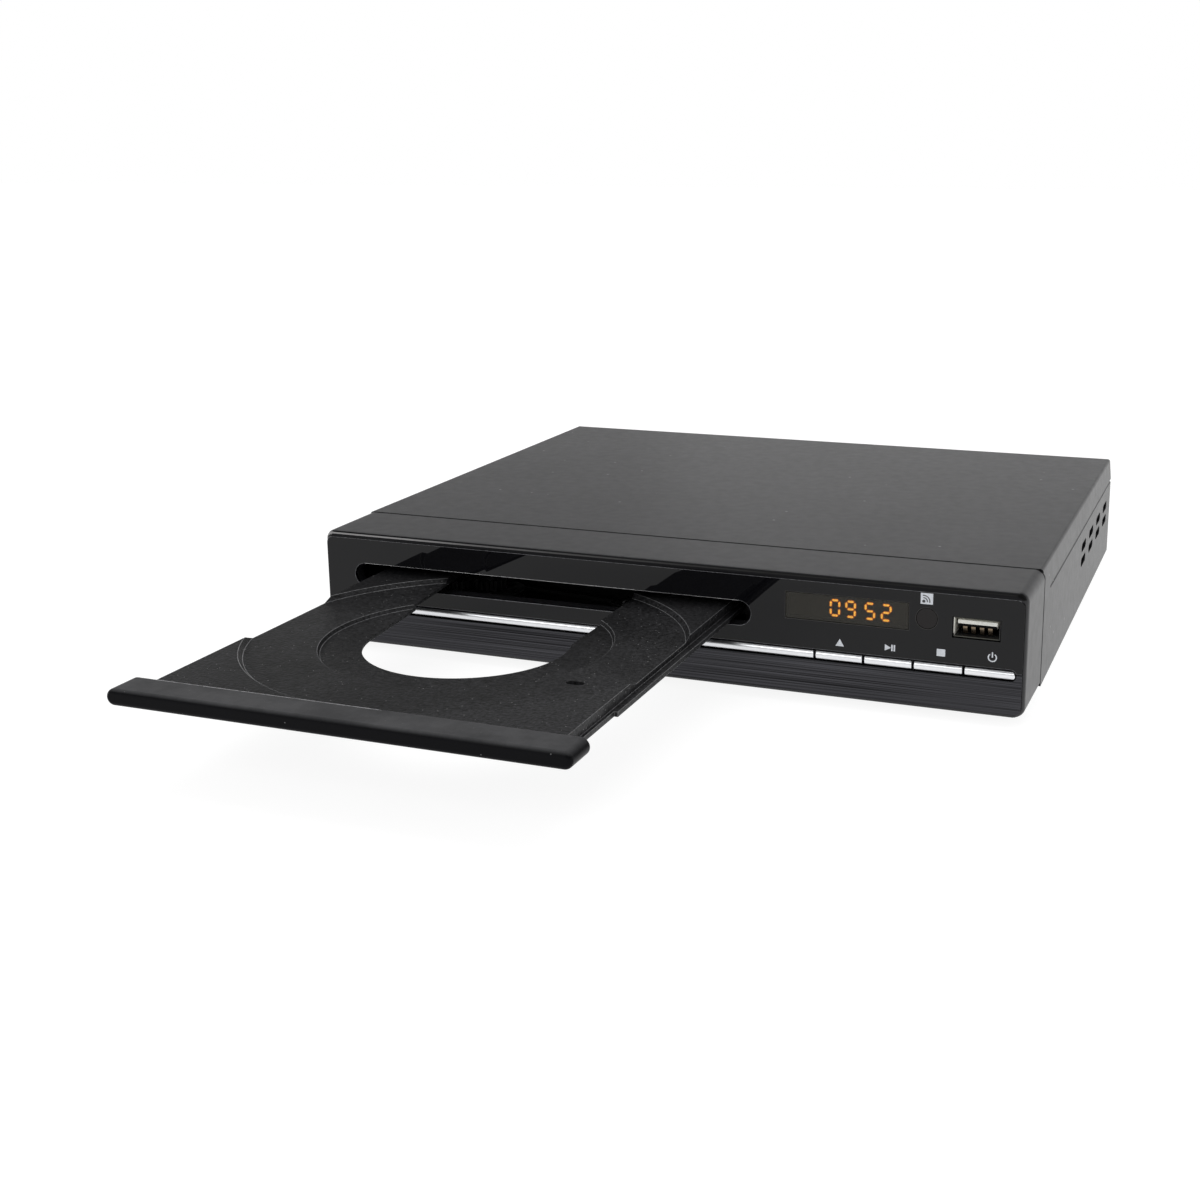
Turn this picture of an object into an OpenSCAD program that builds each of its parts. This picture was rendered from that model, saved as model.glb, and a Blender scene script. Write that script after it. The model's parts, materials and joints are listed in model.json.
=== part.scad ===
// Slim disc player with its disc tray run out.
// +X right, +Y back, +Z up; the modules measure y from the front face and z from the chassis.

/* [Body] */
// Width of the housing
body_w = 225; // [222:1:236]
// Depth of the housing, front face to rear edge
body_d = 199.5; // [198:0.5:214]
// Height of the housing without its feet
body_h = 36.2; // [36:0.2:42]
// Height of the rubber feet
foot_h = 3; // [2:0.5:6]
// Radius of the rubber feet
foot_r = 7; // [5:0.5:9]
// Distance of the feet from the sides
foot_in = 24; // [18:1:30]
// Thickness of the sheet metal
sheet_t = 0.8; // [0.6:0.1:1]

/* [Cover] */
// Height at which the sides start to lean inwards
lean_z = 28.1; // [27:0.1:30]
// How far the top edges lean in
lean_in = 0.65; // [0.3:0.05:1.2]
// Bend radius of the top edges
bend_r = 1; // [0.9:0.1:1.4]
// Start of the pressed side groove behind the front face
groove_y = 40; // [34:1:60]
// Radius of the pressed side groove
groove_r = 0.5; // [0.3:0.1:0.6]
// Air slot length
vent_l = 11.6; // [8:0.2:14]
// Air slot height
vent_h = 3; // [2:0.2:3.6]
// Distance between air slots
vent_pitch = 20.5; // [16:0.5:21]
// Last air slot before the rear edge
vent_in = 17.7; // [14:0.1:24]
// Height of the lower row of air slots
vent_z = 16.2; // [13:0.2:17]
// Distance between the two rows
vent_rows = 5.1; // [4.6:0.1:6]

/* [Front] */
// Depth of the front bezel
bezel_d = 28.2; // [24:0.2:30]
// Thickness of the bezel's skins
bezel_t = 2.2; // [1.6:0.1:2.6]
// Thickness of the bezel's front wall with its panels
front_t = 5; // [4.6:0.1:5.4]
// Radius of the bezel's long top edges
edge_r = 3; // [2:0.1:3.4]
// Radius of the bezel's other corners
corner_r = 2.5; // [1.5:0.1:3]
// Radius of the edges round the bezel's front face
front_r = 0.8; // [0.4:0.1:1]
// Corner radius of the front panels
panel_r = 2.2; // [1:0.1:2.6]
// How much narrower the bezel is at its front on each side
front_in = 0.4; // [0:0.1:0.8]
// Thickness of the front panels
panel_t = 1.5; // [1.2:0.1:1.8]
// Width of the bezel's rim beside the panels
rim_w = 1.2; // [1:0.1:1.6]
// Width of the bezel's rim above the panels
rim_top = 1.7; // [1.4:0.1:2.2]
// Width of the bezel's rim below the panels
rim_low = 0.8; // [0.8:0.1:1.2]
// Height of the joint between the two panels
band_z = 12.9; // [12.6:0.1:13.2]
// Gap round the panels and windows
panel_gap = 0.1; // [0.05:0.05:0.2]

/* [Strip and keys] */
// Height of the strip's centre line
strip_z = 12.4; // [12:0.1:12.8]
// Radius of the half-round strip
strip_r = 1.4; // [1.2:0.1:1.5]
// How far the strip's axis lies behind the front face
strip_in = 1; // [0.9:0.1:1.2]
// Height of the groove that holds the strip
groove_h = 3.4; // [3.2:0.1:3.6]
// Distance of the strip's ends from the sides
strip_end = 3.2; // [3:0.1:4]
// Distance between the keys
key_pitch = 14.4; // [13:0.1:15]
// Gap between the keys
key_gap = 0.7; // [0.4:0.1:1]
// Travel of a key
key_travel = 0.6; // [0.3:0.1:0.6]
// Width of a key's stem
stem_w = 8; // [6:0.5:10]
// Thickness of a key's stem
stem_t = 1.8; // [1.4:0.1:2]
// Running clearance round a key's stem
stem_gap = 0.1; // [0.05:0.05:0.15]

/* [Windows and socket] */
// Gap between the slot and the display window
gap_disp = 10.55; // [9:0.05:12]
// Gap between the display window and the infrared window
gap_ir = 2; // [1.6:0.1:3]
// Gap between the infrared window and the USB socket
gap_usb = 4.35; // [3.6:0.05:5]
// Gap between the USB socket and the right side
gap_right = 7.85; // [7:0.05:9]
// Display window centre below the top
disp_in = 9.5; // [9.2:0.1:10.2]
// Display window width
disp_w = 36.3; // [34:0.1:38]
// Display window height
disp_h = 8; // [7.6:0.1:8.6]
// Ledge that the display window rests on
ledge = 0.8; // [0.6:0.1:1]
// Figure height
digit_h = 5.2; // [4.6:0.1:5.4]
// Figure width
digit_w = 3.4; // [3:0.1:3.6]
// Segment width
seg_w = 0.55; // [0.4:0.05:0.7]
// Infrared window below the top
ir_in = 9.6; // [9.2:0.1:10.2]
// Infrared window radius
ir_r = 3.1; // [2.8:0.1:3.3]
// USB socket below the top
usb_in = 11.3; // [10.8:0.1:11.6]
// USB shell width
usb_w = 13.1; // [13.1:0.1:13.3]
// USB shell height
usb_h = 5.7; // [5.7:0.1:5.9]
// USB shell thickness
usb_t = 0.3; // [0.2:0.05:0.35]

/* [Tray] */
// Gap between the left side and the slot
gap_left = 11.35; // [9:0.05:13]
// Slot width
slot_w = 133.3; // [132:0.1:134]
// Height of the slot's lower edge
slot_z = 18.95; // [18.8:0.05:19]
// Slot height
slot_h = 7.45; // [7:0.05:7.6]
// How far the tray runs out
travel = 122.7; // [116:0.1:124]
// Width of the lid
lid_w = 129.1; // [127:0.1:130]
// Depth of the lid
lid_d = 10.7; // [8:0.1:11.4]
// Height of the lid
lid_h = 4.5; // [4.2:0.1:4.9]
// Height of the lid's lower edge
lid_z = 20; // [19.6:0.1:20.2]
// Radius of the lid's front edge
lid_r = 1.3; // [0.8:0.1:1.6]
// Half width of the tray
tray_hw = 58.1; // [57.8:0.1:58.3]
// Length of the tray
tray_l = 157; // [156:0.5:158]
// Height of the tray's top face
tray_top = 23.7; // [23.6:0.05:23.9]
// Height of the tray's underside
tray_low = 19.5; // [19.4:0.05:19.6]
// Width of the running flanges
flange_w = 2; // [1.6:0.1:2.1]
// Thickness of the running flanges
flange_t = 1.4; // [1.2:0.1:1.5]
// Thickness of the tray's walls
tray_wall = 1.5; // [1.2:0.1:1.7]
// Thickness of the tray's floors
tray_floor = 1; // [0.8:0.1:1]
// Disc centre behind the tray's front
disc_in = 62; // [61.6:0.1:63]
// Radius of the large recess
disc_r = 60.9; // [60.5:0.1:61]
// Depth of the large recess
disc_z = 1.3; // [1.2:0.1:1.4]
// How far the 12 cm recess's wall leans out
disc_lean = 1.2; // [0.6:0.1:1.4]
// Radius of the small recess
small_r = 40.5; // [40.3:0.1:40.7]
// Depth of the small recess
small_z = 2.4; // [2.3:0.05:2.5]
// How far the 8 cm recess's wall leans out
small_lean = 0.6; // [0.3:0.1:0.8]
// Slot through the tray beside the 8 cm recess, width
hole_w = 5; // [4:0.5:6]
// Slot through the tray, depth
hole_d = 2.6; // [2:0.1:3]
// Radius of the cut-out round the spindle
cut_r = 29.1; // [28:0.1:30]
// Straight edge of the cut-out, right of the disc centre
cut_right = 27.5; // [26:0.1:28]
// Flare of the cut-out's left edge in degrees
cut_flare = 5.6; // [3:0.1:6]
// Rear edge of the cut-out behind the disc centre
cut_back = 75; // [74.5:0.1:76]

/* [Loader] */
// Front edge of the loader frame
frame_y = 14.4; // [14.3:0.1:15]
// Rear edge of the loader frame
frame_end = 172; // [171:0.5:174]
// Height of the loader frame's underside
frame_z = 2; // [1.6:0.1:2.2]
// Thickness of the loader frame's walls
frame_t = 2; // [1.6:0.1:2.4]
// Gap between a flange and the loader frame's wall
run_gap = 0.3; // [0.2:0.05:0.4]
// Gap above and below a flange
rail_gap = 0.1; // [0.05:0.05:0.2]
// Clamp bridge's underside below the top
bridge_in = 6.6; // [6.4:0.1:6.8]
// Gap between the clamp bridge and the raised hub
hub_gap = 2.2; // [2:0.1:2.4]
// Radius of the clamp puck
puck_r = 15; // [13:0.5:17]
// Position of the tray gear behind the front face
gear_y = 30; // [29:0.5:31]
// Teeth of the pinion that drives the rack
pinion_teeth = 12; // [12:1:12]
// Module of the rack and its pinion
rack_m = 1; // [1:0.1:1]
// Module of the reduction gears
gear_m = 0.8; // [0.8:0.1:0.8]
// Teeth of the large reduction gear
wheel_teeth = 26; // [25:1:26]
// Backlash of each tooth flank
backlash = 0.1; // [0.08:0.01:0.14]
// Pitch radius of the belt on the large pulley
belt_r1 = 10.5; // [9.5:0.1:10.6]
// Pitch radius of the belt on the motor pulley
belt_r2 = 3.5; // [3:0.1:4]
// Side of the belt's square section
belt_t = 1.2; // [1:0.1:1.3]
// Distance between the two pulleys
belt_l = 48; // [46:0.5:50]
// Running clearance of shafts in their bores
shaft_gap = 0.05; // [0.03:0.01:0.08]
// Tilt of the lowered traverse in degrees
tilt = 5.8; // [5.6:0.1:5.9]
// Pivot of the traverse behind the front face
pivot_y = 162; // [161.5:0.1:162.5]
// Height of the pivot
pivot_z = 13; // [12.8:0.1:13.2]
// Travel of the cam slider
cam_travel = 16; // [14:0.5:18]
// Travel of the pickup
sled_travel = 34; // [30:0.5:34.5]
// Lead of the lead screw
screw_lead = 3; // [2:0.5:3]

/* [Electronics] */
// Height of the standoffs' top
board_z = 6; // [5:0.2:7]
// Thickness of the boards
board_t = 1.6; // [1.2:0.1:1.8]
// Front edge of the boards behind the front face
board_y = 62; // [58:1:64]
// Width of the power board
power_w = 33; // [32:0.5:35]
// Distance between neighbouring sockets
jack_pitch = 14; // [12:0.5:14]
// Distance between the picture socket and the digital sound socket
jack_step = 24; // [16:0.5:26]
// Radius of the socket sleeves
jack_r = 4.15; // [4.1:0.05:4.2]
// How far the socket sleeves stand out of the rear wall
jack_l = 9; // [8:0.5:10]

/* [Hidden] */
$fn = 64;
eps = 0.01;
half_w = body_w / 2;
rear_y = body_d - sheet_t;
wall_y = rear_y - sheet_t;
cover_y = bezel_d + 0.2;
front_room = body_w - slot_w - disp_w - 2 * ir_r - usb_w;
fit = front_room / (gap_left + gap_disp + gap_ir + gap_usb + gap_right);
load_x = -half_w + gap_left * fit + slot_w / 2;
disp_x = load_x + slot_w / 2 + gap_disp * fit + disp_w / 2;
ir_x = disp_x + disp_w / 2 + gap_ir * fit + ir_r;
usb_x = ir_x + ir_r + gap_usb * fit + usb_w / 2;
disp_z = body_h - disp_in;
ir_z = body_h - ir_in;
usb_z = body_h - usb_in;
bridge_z = body_h - bridge_in;
hub_top = bridge_z - hub_gap;
table_z = hub_top - 2.1;
vent_y = body_d - vent_in - 3 * vent_pitch;
key_x = half_w - strip_end - 4 * key_pitch;
strip_back = panel_t + 1;
key_pocket = strip_back + key_travel + 0.2;
stem_end = 10.8;
plunger_y = stem_end + key_travel + 0.05;
switch_y = plunger_y + 0.6;
front_board_y = switch_y + 3.8;
tray_y = lid_d - travel;
disc_y = tray_y + disc_in;
spindle_y = lid_d + disc_in;
rail_x = tray_hw + flange_w + run_gap;
rack_x = -tray_hw + tray_wall + 1.65;
pinion_r = rack_m * pinion_teeth / 2;
wheel_r = gear_m * wheel_teeth / 2;
small_teeth = 12;
small_gear_r = gear_m * small_teeth / 2;
gear_x = rack_x + pinion_r;
pulley_x = gear_x + wheel_r + small_gear_r;
motor_x = pulley_x + belt_l;
addendum = 0.65;
dedendum = 0.95;
belt_z = 11.5;
plate_z = 17;
plate_t = 1.2;
rod_x = 26;
rod_z = 15;
rod_r = 1.5;
screw_x = 14;
turn_r = 14.5;
bridge_w = 16;
sled_end = 115 + sled_travel;
lug_r = 3.2;
lug_x = rail_x + frame_t + lug_r;
screw_z = 12.3;
cam_y = 51.6;
cam_t = 2;
pin_r = 1.5;
pin_z = 15.2;
board_top = board_z + board_t;
jack_z = board_top + 6;
jack_x = [-30, -30 + jack_pitch, -30 + 2 * jack_pitch, -30 + 2 * jack_pitch + jack_step];
av_x0 = jack_x[0] - 32;
av_x1 = jack_x[3] + 8;
main_x0 = load_x + lug_x + lug_r + 0.9;
power_x1 = half_w - 3.5;
power_x0 = power_x1 - power_w;
main_x1 = power_x0 - 3;
main_mid = (main_x0 + main_x1) / 2;
back_holes_y = wall_y - 15.9;
front_board_x0 = disp_x - disp_w / 2 - 1.7;
inlet_x = half_w - 20.5;
inlet_z = board_top + 8;
lid_z_mid = lid_z + lid_h / 2;
pulley_back = rear_y + jack_l;
mid_y = (pulley_back + tray_y - lid_d) / 2;

// ---- helpers ----

module placed() {
    translate([0, -mid_y, foot_h]) children();
}

module block(x0, x1, y0, y1, z0, z1) {
    translate([x0, y0, z0]) cube([x1 - x0, y1 - y0, z1 - z0]);
}

module post(x, y, z0, z1, r) {
    translate([x, y, z0]) cylinder(h = z1 - z0, r = r);
}

module rod_along_y(x, y0, y1, z, r) {
    translate([x, y0, z]) rotate([-90, 0, 0]) cylinder(h = y1 - y0, r = r);
}

module rod_along_x(x0, x1, y, z, r) {
    translate([x0, y, z]) rotate([0, 90, 0]) cylinder(h = x1 - x0, r = r);
}

// A flat outline drawn in x and z, carried from y0 to y1
module front_slab(y0, y1) {
    translate([0, y1, 0]) rotate([90, 0, 0]) linear_extrude(y1 - y0) children();
}

// A flat outline drawn in y and z, carried from x0 to x1
module side_slab(x0, x1) {
    translate([x0, 0, 0]) rotate([90, 0, 90]) linear_extrude(x1 - x0) children();
}

module stadium(w, h) {
    square([w - h, h], center = true);
    for (s = [-1, 1])
        translate([s * (w - h) / 2, 0]) circle(d = h);
}

module round_rect(x0, x1, y0, y1, r) {
    translate([x0 + r, y0]) square([x1 - x0 - 2 * r, y1 - y0]);
    translate([x0, y0 + r]) square([x1 - x0, y1 - y0 - 2 * r]);
    for (x = [x0 + r, x1 - r], y = [y0 + r, y1 - r])
        translate([x, y]) circle(r = r);
}

module at_loader() {
    translate([load_x, 0, 0]) children();
}

module on_lift() {
    translate([load_x, pivot_y, pivot_z]) rotate([tilt, 0, 0]) translate([0, -pivot_y, -pivot_z])
        children();
}

function involute(rb, a) = rb * [cos(a) + a * PI / 180 * sin(a), sin(a) - a * PI / 180 * cos(a)];
function roll(rb, r) = sqrt(max(0, pow(r / rb, 2) - 1)) * 180 / PI;
function turned(p, a) = [p[0] * cos(a) - p[1] * sin(a), p[0] * sin(a) + p[1] * cos(a)];

// One flank of a tooth that points along +X, from the root to the tip
function flank(m, n) =
    let (r = m * n / 2, rb = r * cos(20), ra = r + m * addendum, rf = r - m * dedendum)
    let (a0 = roll(rb, max(rf, rb)), a1 = roll(rb, ra))
    let (pitch = involute(rb, roll(rb, r)), half = (90 / n) - backlash / r * 180 / PI / 2)
    let (back = atan2(pitch[1], pitch[0]) + half)
    concat(rf < rb ? [turned([rf - 0.2, 0], -back)] : [],
        [for (i = [0:4]) turned(involute(rb, a0 + (a1 - a0) * i / 4), -back)]);

module gear_outline(m, n) {
    circle(r = m * (n / 2 - dedendum));
    side = flank(m, n);
    tooth = concat([[0, 0]], side, [for (i = [len(side) - 1:-1:0]) [side[i][0], -side[i][1]]]);
    for (k = [0:n - 1])
        rotate(k * 360 / n) polygon(tooth);
}

// ---- housing ----

module cover_outline(inset, r) {
    x = half_w - inset;
    xt = x - lean_in;
    top = body_h - inset;
    polygon([[-x, -1], [x, -1], [x, lean_z], [xt, top - r], [xt - r, top], [r - xt, top], [-xt, top - r],
        [-x, lean_z]]);
    for (s = [-1, 1])
        translate([s * (xt - r), top - r]) circle(r = r);
}

module top_cover() color("#3c3c3f") difference() {
    front_slab(cover_y, body_d) cover_outline(0, bend_r);
    front_slab(cover_y - 1, rear_y) cover_outline(sheet_t, bend_r - sheet_t + 0.1);
    block(-half_w - 1, half_w + 1, cover_y - 1, body_d + 1, -2, 0.6);
    block(-half_w - 1, half_w + 1, rear_y - eps, body_d + 1, -2, lean_z);
    block(-half_w + sheet_t, half_w - sheet_t, rear_y - 5, body_d + 1, -2, lean_z);
    for (s = [-1, 1]) {
        rod_along_y(s * (half_w + 0.12), groove_y, body_d + 1, lean_z, groove_r);
        translate([s * (half_w + 0.12), groove_y, lean_z]) sphere(r = groove_r);
    }
    for (k = [0:3], row = [0, 1])
        side_slab(-half_w - 1, half_w + 1)
            translate([vent_y + k * vent_pitch, vent_z + row * vent_rows]) stadium(vent_l, vent_h);
    for (x = cover_screw_x())
        rod_along_y(x, rear_y - 1, body_d + 1, cover_screw_z(), 1.6);
}

function cover_screw_x() = [-half_w + 30, 0, half_w - 30];
function cover_screw_z() = (lean_z + body_h) / 2;

module cover_screws() color("#26262a") {
    for (x = cover_screw_x()) difference() {
        union() {
            rod_along_y(x, wall_y - 4, body_d + 0.1, cover_screw_z(), 1.5);
            rod_along_y(x, body_d, body_d + 1.4, cover_screw_z(), 3);
        }
        for (a = [0, 90])
            translate([x, body_d + 1.2, cover_screw_z()]) rotate([0, a, 0]) cube([3.2, 1, 0.7], center = true);
    }
}

module chassis() color("#9a9ca0") difference() {
    union() {
        block(-half_w + 3, half_w - 3, chassis_y(), bezel_d + 0.4, 0, sheet_t);
        block(-half_w + 1, half_w - 1, bezel_d + 0.4, rear_y, 0, sheet_t);
        for (s = [0, 1]) mirror([s, 0, 0])
            block(half_w - 1 - sheet_t, half_w - 1, bezel_d + 5, rear_y, 0, 10);
        block(-half_w + 1.5, half_w - 1.5, wall_y, rear_y, 0, body_h - sheet_t - 0.2);
        block(front_board_x0 + 1, half_w - 6, front_board_y + board_t + 0.2, front_board_y + board_t + 0.2 + sheet_t,
            0, 9);
    }
    for (i = [0:3])
        rod_along_y(jack_x[i], wall_y - 1, rear_y + 1, jack_z, jack_r + 1.6);
    block(main_mid - 7.7, main_mid + 7.7, wall_y - 1, rear_y + 1, board_top + 0.1, board_top + 6.3);
    front_slab(wall_y - 1, rear_y + 1) translate([inlet_x, inlet_z]) square([22.4, 15.4], center = true);
    for (k = [0:7])
        front_slab(wall_y - 1, rear_y + 1) translate([-half_w + 14.5 + k * 5, body_h / 2]) stadium_up(2, 14);
    for (x = cover_screw_x())
        rod_along_y(x, wall_y - 1, rear_y + 1, cover_screw_z(), 1.6);
    for (p = frame_screw_at())
        post(p[0], p[1], -1, 2, 1.6);
    for (p = foot_at())
        post(p[0], p[1], -1, 2, 2);
    for (k = [0:5])
        translate([half_w - 22.5, board_y + 18 + k * 14, -1]) linear_extrude(3) stadium(22, 3);
}

module stadium_up(w, h) {
    rotate(90) stadium(h, w);
}

function chassis_y() = 14.2;
function foot_at() = [for (x = [-half_w + foot_in, half_w - foot_in], y = [38, body_d - 26]) [x, y]];
function frame_screw_at() = [for (s = [-1, 1], y = [22, 164]) [load_x + s * lug_x, y]];

module feet() color("#1c1c1d") {
    for (p = foot_at()) translate([p[0], p[1], 0]) rotate_extrude() polygon([[0, sheet_t + 1.2], [2.4, sheet_t + 0.6],
        [2.4, sheet_t], [1.9, sheet_t], [1.9, 0], [foot_r, 0], [foot_r, -foot_h + 0.8], [foot_r - 0.8, -foot_h],
        [3.4, -foot_h], [3, -foot_h + 1.2], [0, -foot_h + 1.2]]);
}

// ---- front ----

module bezel_front() {
    square([body_w - 2 * edge_r, body_h], center = true);
    square([body_w, body_h - 2 * edge_r], center = true);
    for (s = [-1, 1]) {
        translate([s * (half_w - edge_r), body_h / 2 - edge_r]) circle(r = edge_r);
        translate([s * (half_w - corner_r), corner_r - body_h / 2]) circle(r = corner_r);
        translate([s * (half_w - corner_r - 1), -body_h / 4]) square([2 * corner_r + 2, body_h / 2 - 2 * corner_r],
            center = true);
    }
    translate([0, (corner_r - body_h) / 2]) square([body_w - 2 * corner_r, corner_r], center = true);
}

module bezel_plan(inset) {
    xf = half_w - front_in - inset;
    xr = half_w - inset;
    r = corner_r;
    polygon([[r - xf, inset], [xf - r, inset], [xf, inset + r], [xr, bezel_d + 0.001], [-xr, bezel_d + 0.001],
        [-xf, inset + r]]);
    for (s = [-1, 1])
        translate([s * (xf - r), inset + r]) circle(r = r);
}

module bezel_side() {
    translate([front_r, 0]) square([bezel_d, body_h]);
    translate([0, front_r]) square([front_r + 1, body_h - 2 * front_r]);
    for (z = [front_r, body_h - front_r])
        translate([front_r, z]) circle(r = front_r);
}

module panel_outline(inset) {
    round_rect(-half_w + rim_w + inset, half_w - rim_w - inset, rim_low + inset, body_h - rim_top - inset, panel_r);
}

module groove_cut(y1) {
    front_slab(-1, y1) translate([0, strip_z]) stadium(body_w - 2 * strip_end + groove_h - 2 * strip_r, groove_h);
}

module slot_cut(y0, y1) {
    front_slab(y0, y1) translate([load_x, slot_z + slot_h / 2]) stadium(slot_w, slot_h);
}

module usb_cut(y0, y1) {
    front_slab(y0, y1) translate([usb_x, usb_z]) square([usb_w + 0.4, usb_h + 0.4], center = true);
}

module front_bezel() color("#1b1b1d") difference() {
    union() {
        difference() {
            intersection() {
                linear_extrude(body_h) bezel_plan(0);
                front_slab(0, bezel_d) translate([0, body_h / 2]) bezel_front();
                side_slab(-half_w, half_w) bezel_side();
            }
            block(-half_w + bezel_t + 0.5, half_w - bezel_t - 0.5, front_t, bezel_d + 1, bezel_t, body_h - bezel_t);
            block(-half_w + 2.8, half_w - 2.8, chassis_y() - 0.2, bezel_d + 1, -1, bezel_t + 0.1);
        }
        block(-half_w + 8, half_w - 8, bezel_d - 3, bezel_d + 3.6, body_h - 3, body_h - sheet_t - 0.2);
        block(-half_w + 8, half_w - 8, bezel_d - 3, bezel_d, body_h - 3, body_h - 1);
        for (s = [0, 1]) mirror([s, 0, 0])
            block(half_w - 3, half_w - sheet_t - 0.4, bezel_d - 3, bezel_d + 3.6, 11, lean_z - 1);
    }
    front_slab(-1, panel_t) panel_outline(0);
    groove_cut(strip_back + 0.05);
    slot_cut(-1, front_t + 1);
    usb_cut(-1, front_t + 1);
    front_slab(-1, front_t + 1) translate([disp_x, disp_z])
        square([disp_w - 2 * ledge, disp_h - 2 * ledge], center = true);
    rod_along_y(ir_x, -1, front_t + 1, ir_z, ir_r - ledge);
    block(key_x, half_w - strip_end + 0.3, -1, key_pocket, strip_z - groove_h / 2, strip_z + groove_h / 2);
    for (k = [0:3])
        block(key_mid(k) - stem_w / 2 - stem_gap, key_mid(k) + stem_w / 2 + stem_gap, -1, front_t + 1,
            strip_z - stem_t / 2 - stem_gap, strip_z + stem_t / 2 + stem_gap);
}

function key_mid(k) = key_x + (k + 0.5) * key_pitch;

module gloss_panel() color("#2a2a2d") difference() {
    intersection() {
        front_slab(0, panel_t) panel_outline(panel_gap);
        block(-half_w, half_w, -1, front_t, band_z + panel_gap / 2, body_h);
    }
    groove_cut(front_t);
    slot_cut(-1, front_t);
    usb_cut(-1, front_t);
    front_slab(-1, front_t) translate([disp_x, disp_z]) square([disp_w, disp_h], center = true);
    rod_along_y(ir_x, -1, front_t, ir_z, ir_r);
}

module lower_panel() color("#2e2e30") difference() {
    intersection() {
        front_slab(0, panel_t) panel_outline(panel_gap);
        block(-half_w, half_w, -1, front_t, 0, band_z - panel_gap / 2);
    }
    groove_cut(front_t);
}

module strip_piece(x0, x1, round_left, round_right) {
    intersection() {
        union() {
            rod_along_x(x0, x1, strip_in, strip_z, strip_r);
            block(x0, x1, strip_in, strip_back, strip_z - strip_r + 0.2, strip_z + strip_r - 0.2);
        }
        front_slab(-2, strip_back) translate([0, strip_z]) {
            translate([x0 + (round_left ? strip_r : 0), -strip_r - 1])
                square([x1 - x0 - (round_left ? strip_r : 0) - (round_right ? strip_r : 0), 2 * strip_r + 2]);
            if (round_left) translate([x0 + strip_r, 0]) circle(r = strip_r);
            if (round_right) translate([x1 - strip_r, 0]) circle(r = strip_r);
        }
        block(x0 - 1, x1 + 1, -2, strip_back, 0, 2 * strip_z);
    }
}

module silver_strip() color("#d9dadb") {
    strip_piece(-half_w + strip_end, key_x - key_gap / 2, true, false);
}

module key(k) color("#d9dadb") {
    strip_piece(key_x + k * key_pitch + key_gap / 2, key_x + (k + 1) * key_pitch - (k == 3 ? 0 : key_gap / 2),
        false, k == 3);
    block(key_mid(k) - stem_w / 2, key_mid(k) + stem_w / 2, strip_in, stem_end, strip_z - stem_t / 2,
        strip_z + stem_t / 2);
}

module display_window() color("#1a1410", 0.6) front_slab(0.15, panel_t) translate([disp_x, disp_z])
    square([disp_w - 2 * panel_gap, disp_h - 2 * panel_gap], center = true);

module display_module() color("#161616")
    difference() {
        block(disp_x - disp_w / 2 + ledge + 0.3, disp_x + disp_w / 2 - ledge - 0.3, panel_t + 0.2, front_board_y,
            disp_z - disp_h / 2 + ledge + 0.2, disp_z + disp_h / 2 - ledge - 0.2);
        for (k = [0:3])
            front_slab(panel_t, panel_t + 0.25) digit_place(k) square([digit_w + 0.5, digit_h + 0.3], center = true);
    }

module digit_place(k) {
    translate([disp_x + [-3.7, 0.9, 6.55, 11.3][k], disp_z]) children();
}

module digit() {
    w = digit_w - seg_w;
    h = (digit_h - seg_w) / 2;
    for (z = [-1, 0, 1])
        translate([0, z * h]) square([w - seg_w - 0.1, seg_w], center = true);
    for (sx = [-1, 1], sz = [-1, 1])
        translate([sx * w / 2, sz * h / 2]) square([seg_w, h - seg_w - 0.1], center = true);
}

module display_segments() color("#ff9a2a") {
    for (k = [0:3])
        front_slab(panel_t + 0.1, panel_t + 0.25) digit_place(k) digit();
}

module ir_window() color("#3b1016", 0.8) rod_along_y(ir_x, 0.1, panel_t, ir_z, ir_r - panel_gap);

module ir_receiver() color("#202022") {
    block(ir_x - 2.6, ir_x + 2.6, front_board_y - 6, front_board_y, ir_z - 3.4, ir_z + 3.4);
    intersection() {
        translate([ir_x, front_board_y - 6, ir_z]) sphere(r = 2.3);
        block(ir_x - 3, ir_x + 3, 0, front_board_y - 5, ir_z - 3, ir_z + 3);
    }
}

module usb_shell() color("#b9bcc0") difference() {
    front_slab(0.6, front_board_y) translate([usb_x, usb_z]) square([usb_w, usb_h], center = true);
    front_slab(0, front_board_y + 1) translate([usb_x, usb_z])
        square([usb_w - 2 * usb_t, usb_h - 2 * usb_t], center = true);
}

module usb_insert() color("#e6e6e2") {
    front_slab(front_board_y - 4, front_board_y) translate([usb_x, usb_z])
        square([usb_w - 2 * usb_t - 0.1, usb_h - 2 * usb_t - 0.1], center = true);
    block(usb_x - 5.5, usb_x + 5.5, 1.6, front_board_y - 4 + eps, usb_z + 0.1, usb_z + 1.9);
}

module front_board() color("#1d4a2c") difference() {
    block(front_board_x0, half_w - 5, front_board_y, front_board_y + board_t, 2.6, body_h - 4);
    for (x = [front_board_x0 + 5, half_w - 10])
        rod_along_y(x, front_board_y - 1, front_board_y + 3, 5, 1.5);
}

module tact_switches() color("#2a2a2c") {
    for (k = [0:3]) {
        block(key_mid(k) - 3, key_mid(k) + 3, switch_y, front_board_y, strip_z - 3, strip_z + 3);
        rod_along_y(key_mid(k), plunger_y, switch_y + eps, strip_z, 1.7);
    }
}

// ---- tray ----

module cutout() {
    back = disc_y + cut_back;
    left = -cut_r * cos(12);
    ly = disc_y - cut_r * sin(12);
    translate([0, disc_y]) circle(r = cut_r);
    polygon([[left, ly], [cut_right, ly], [cut_right, back], [left - (back - ly) * tan(cut_flare), back]]);
}

// Round recess whose wall leans out by lean over its depth
module recess(z, depth, r, lean) {
    translate([0, disc_y, z]) cylinder(h = 2 * depth, r1 = r, r2 = r + 2 * lean);
}

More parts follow.
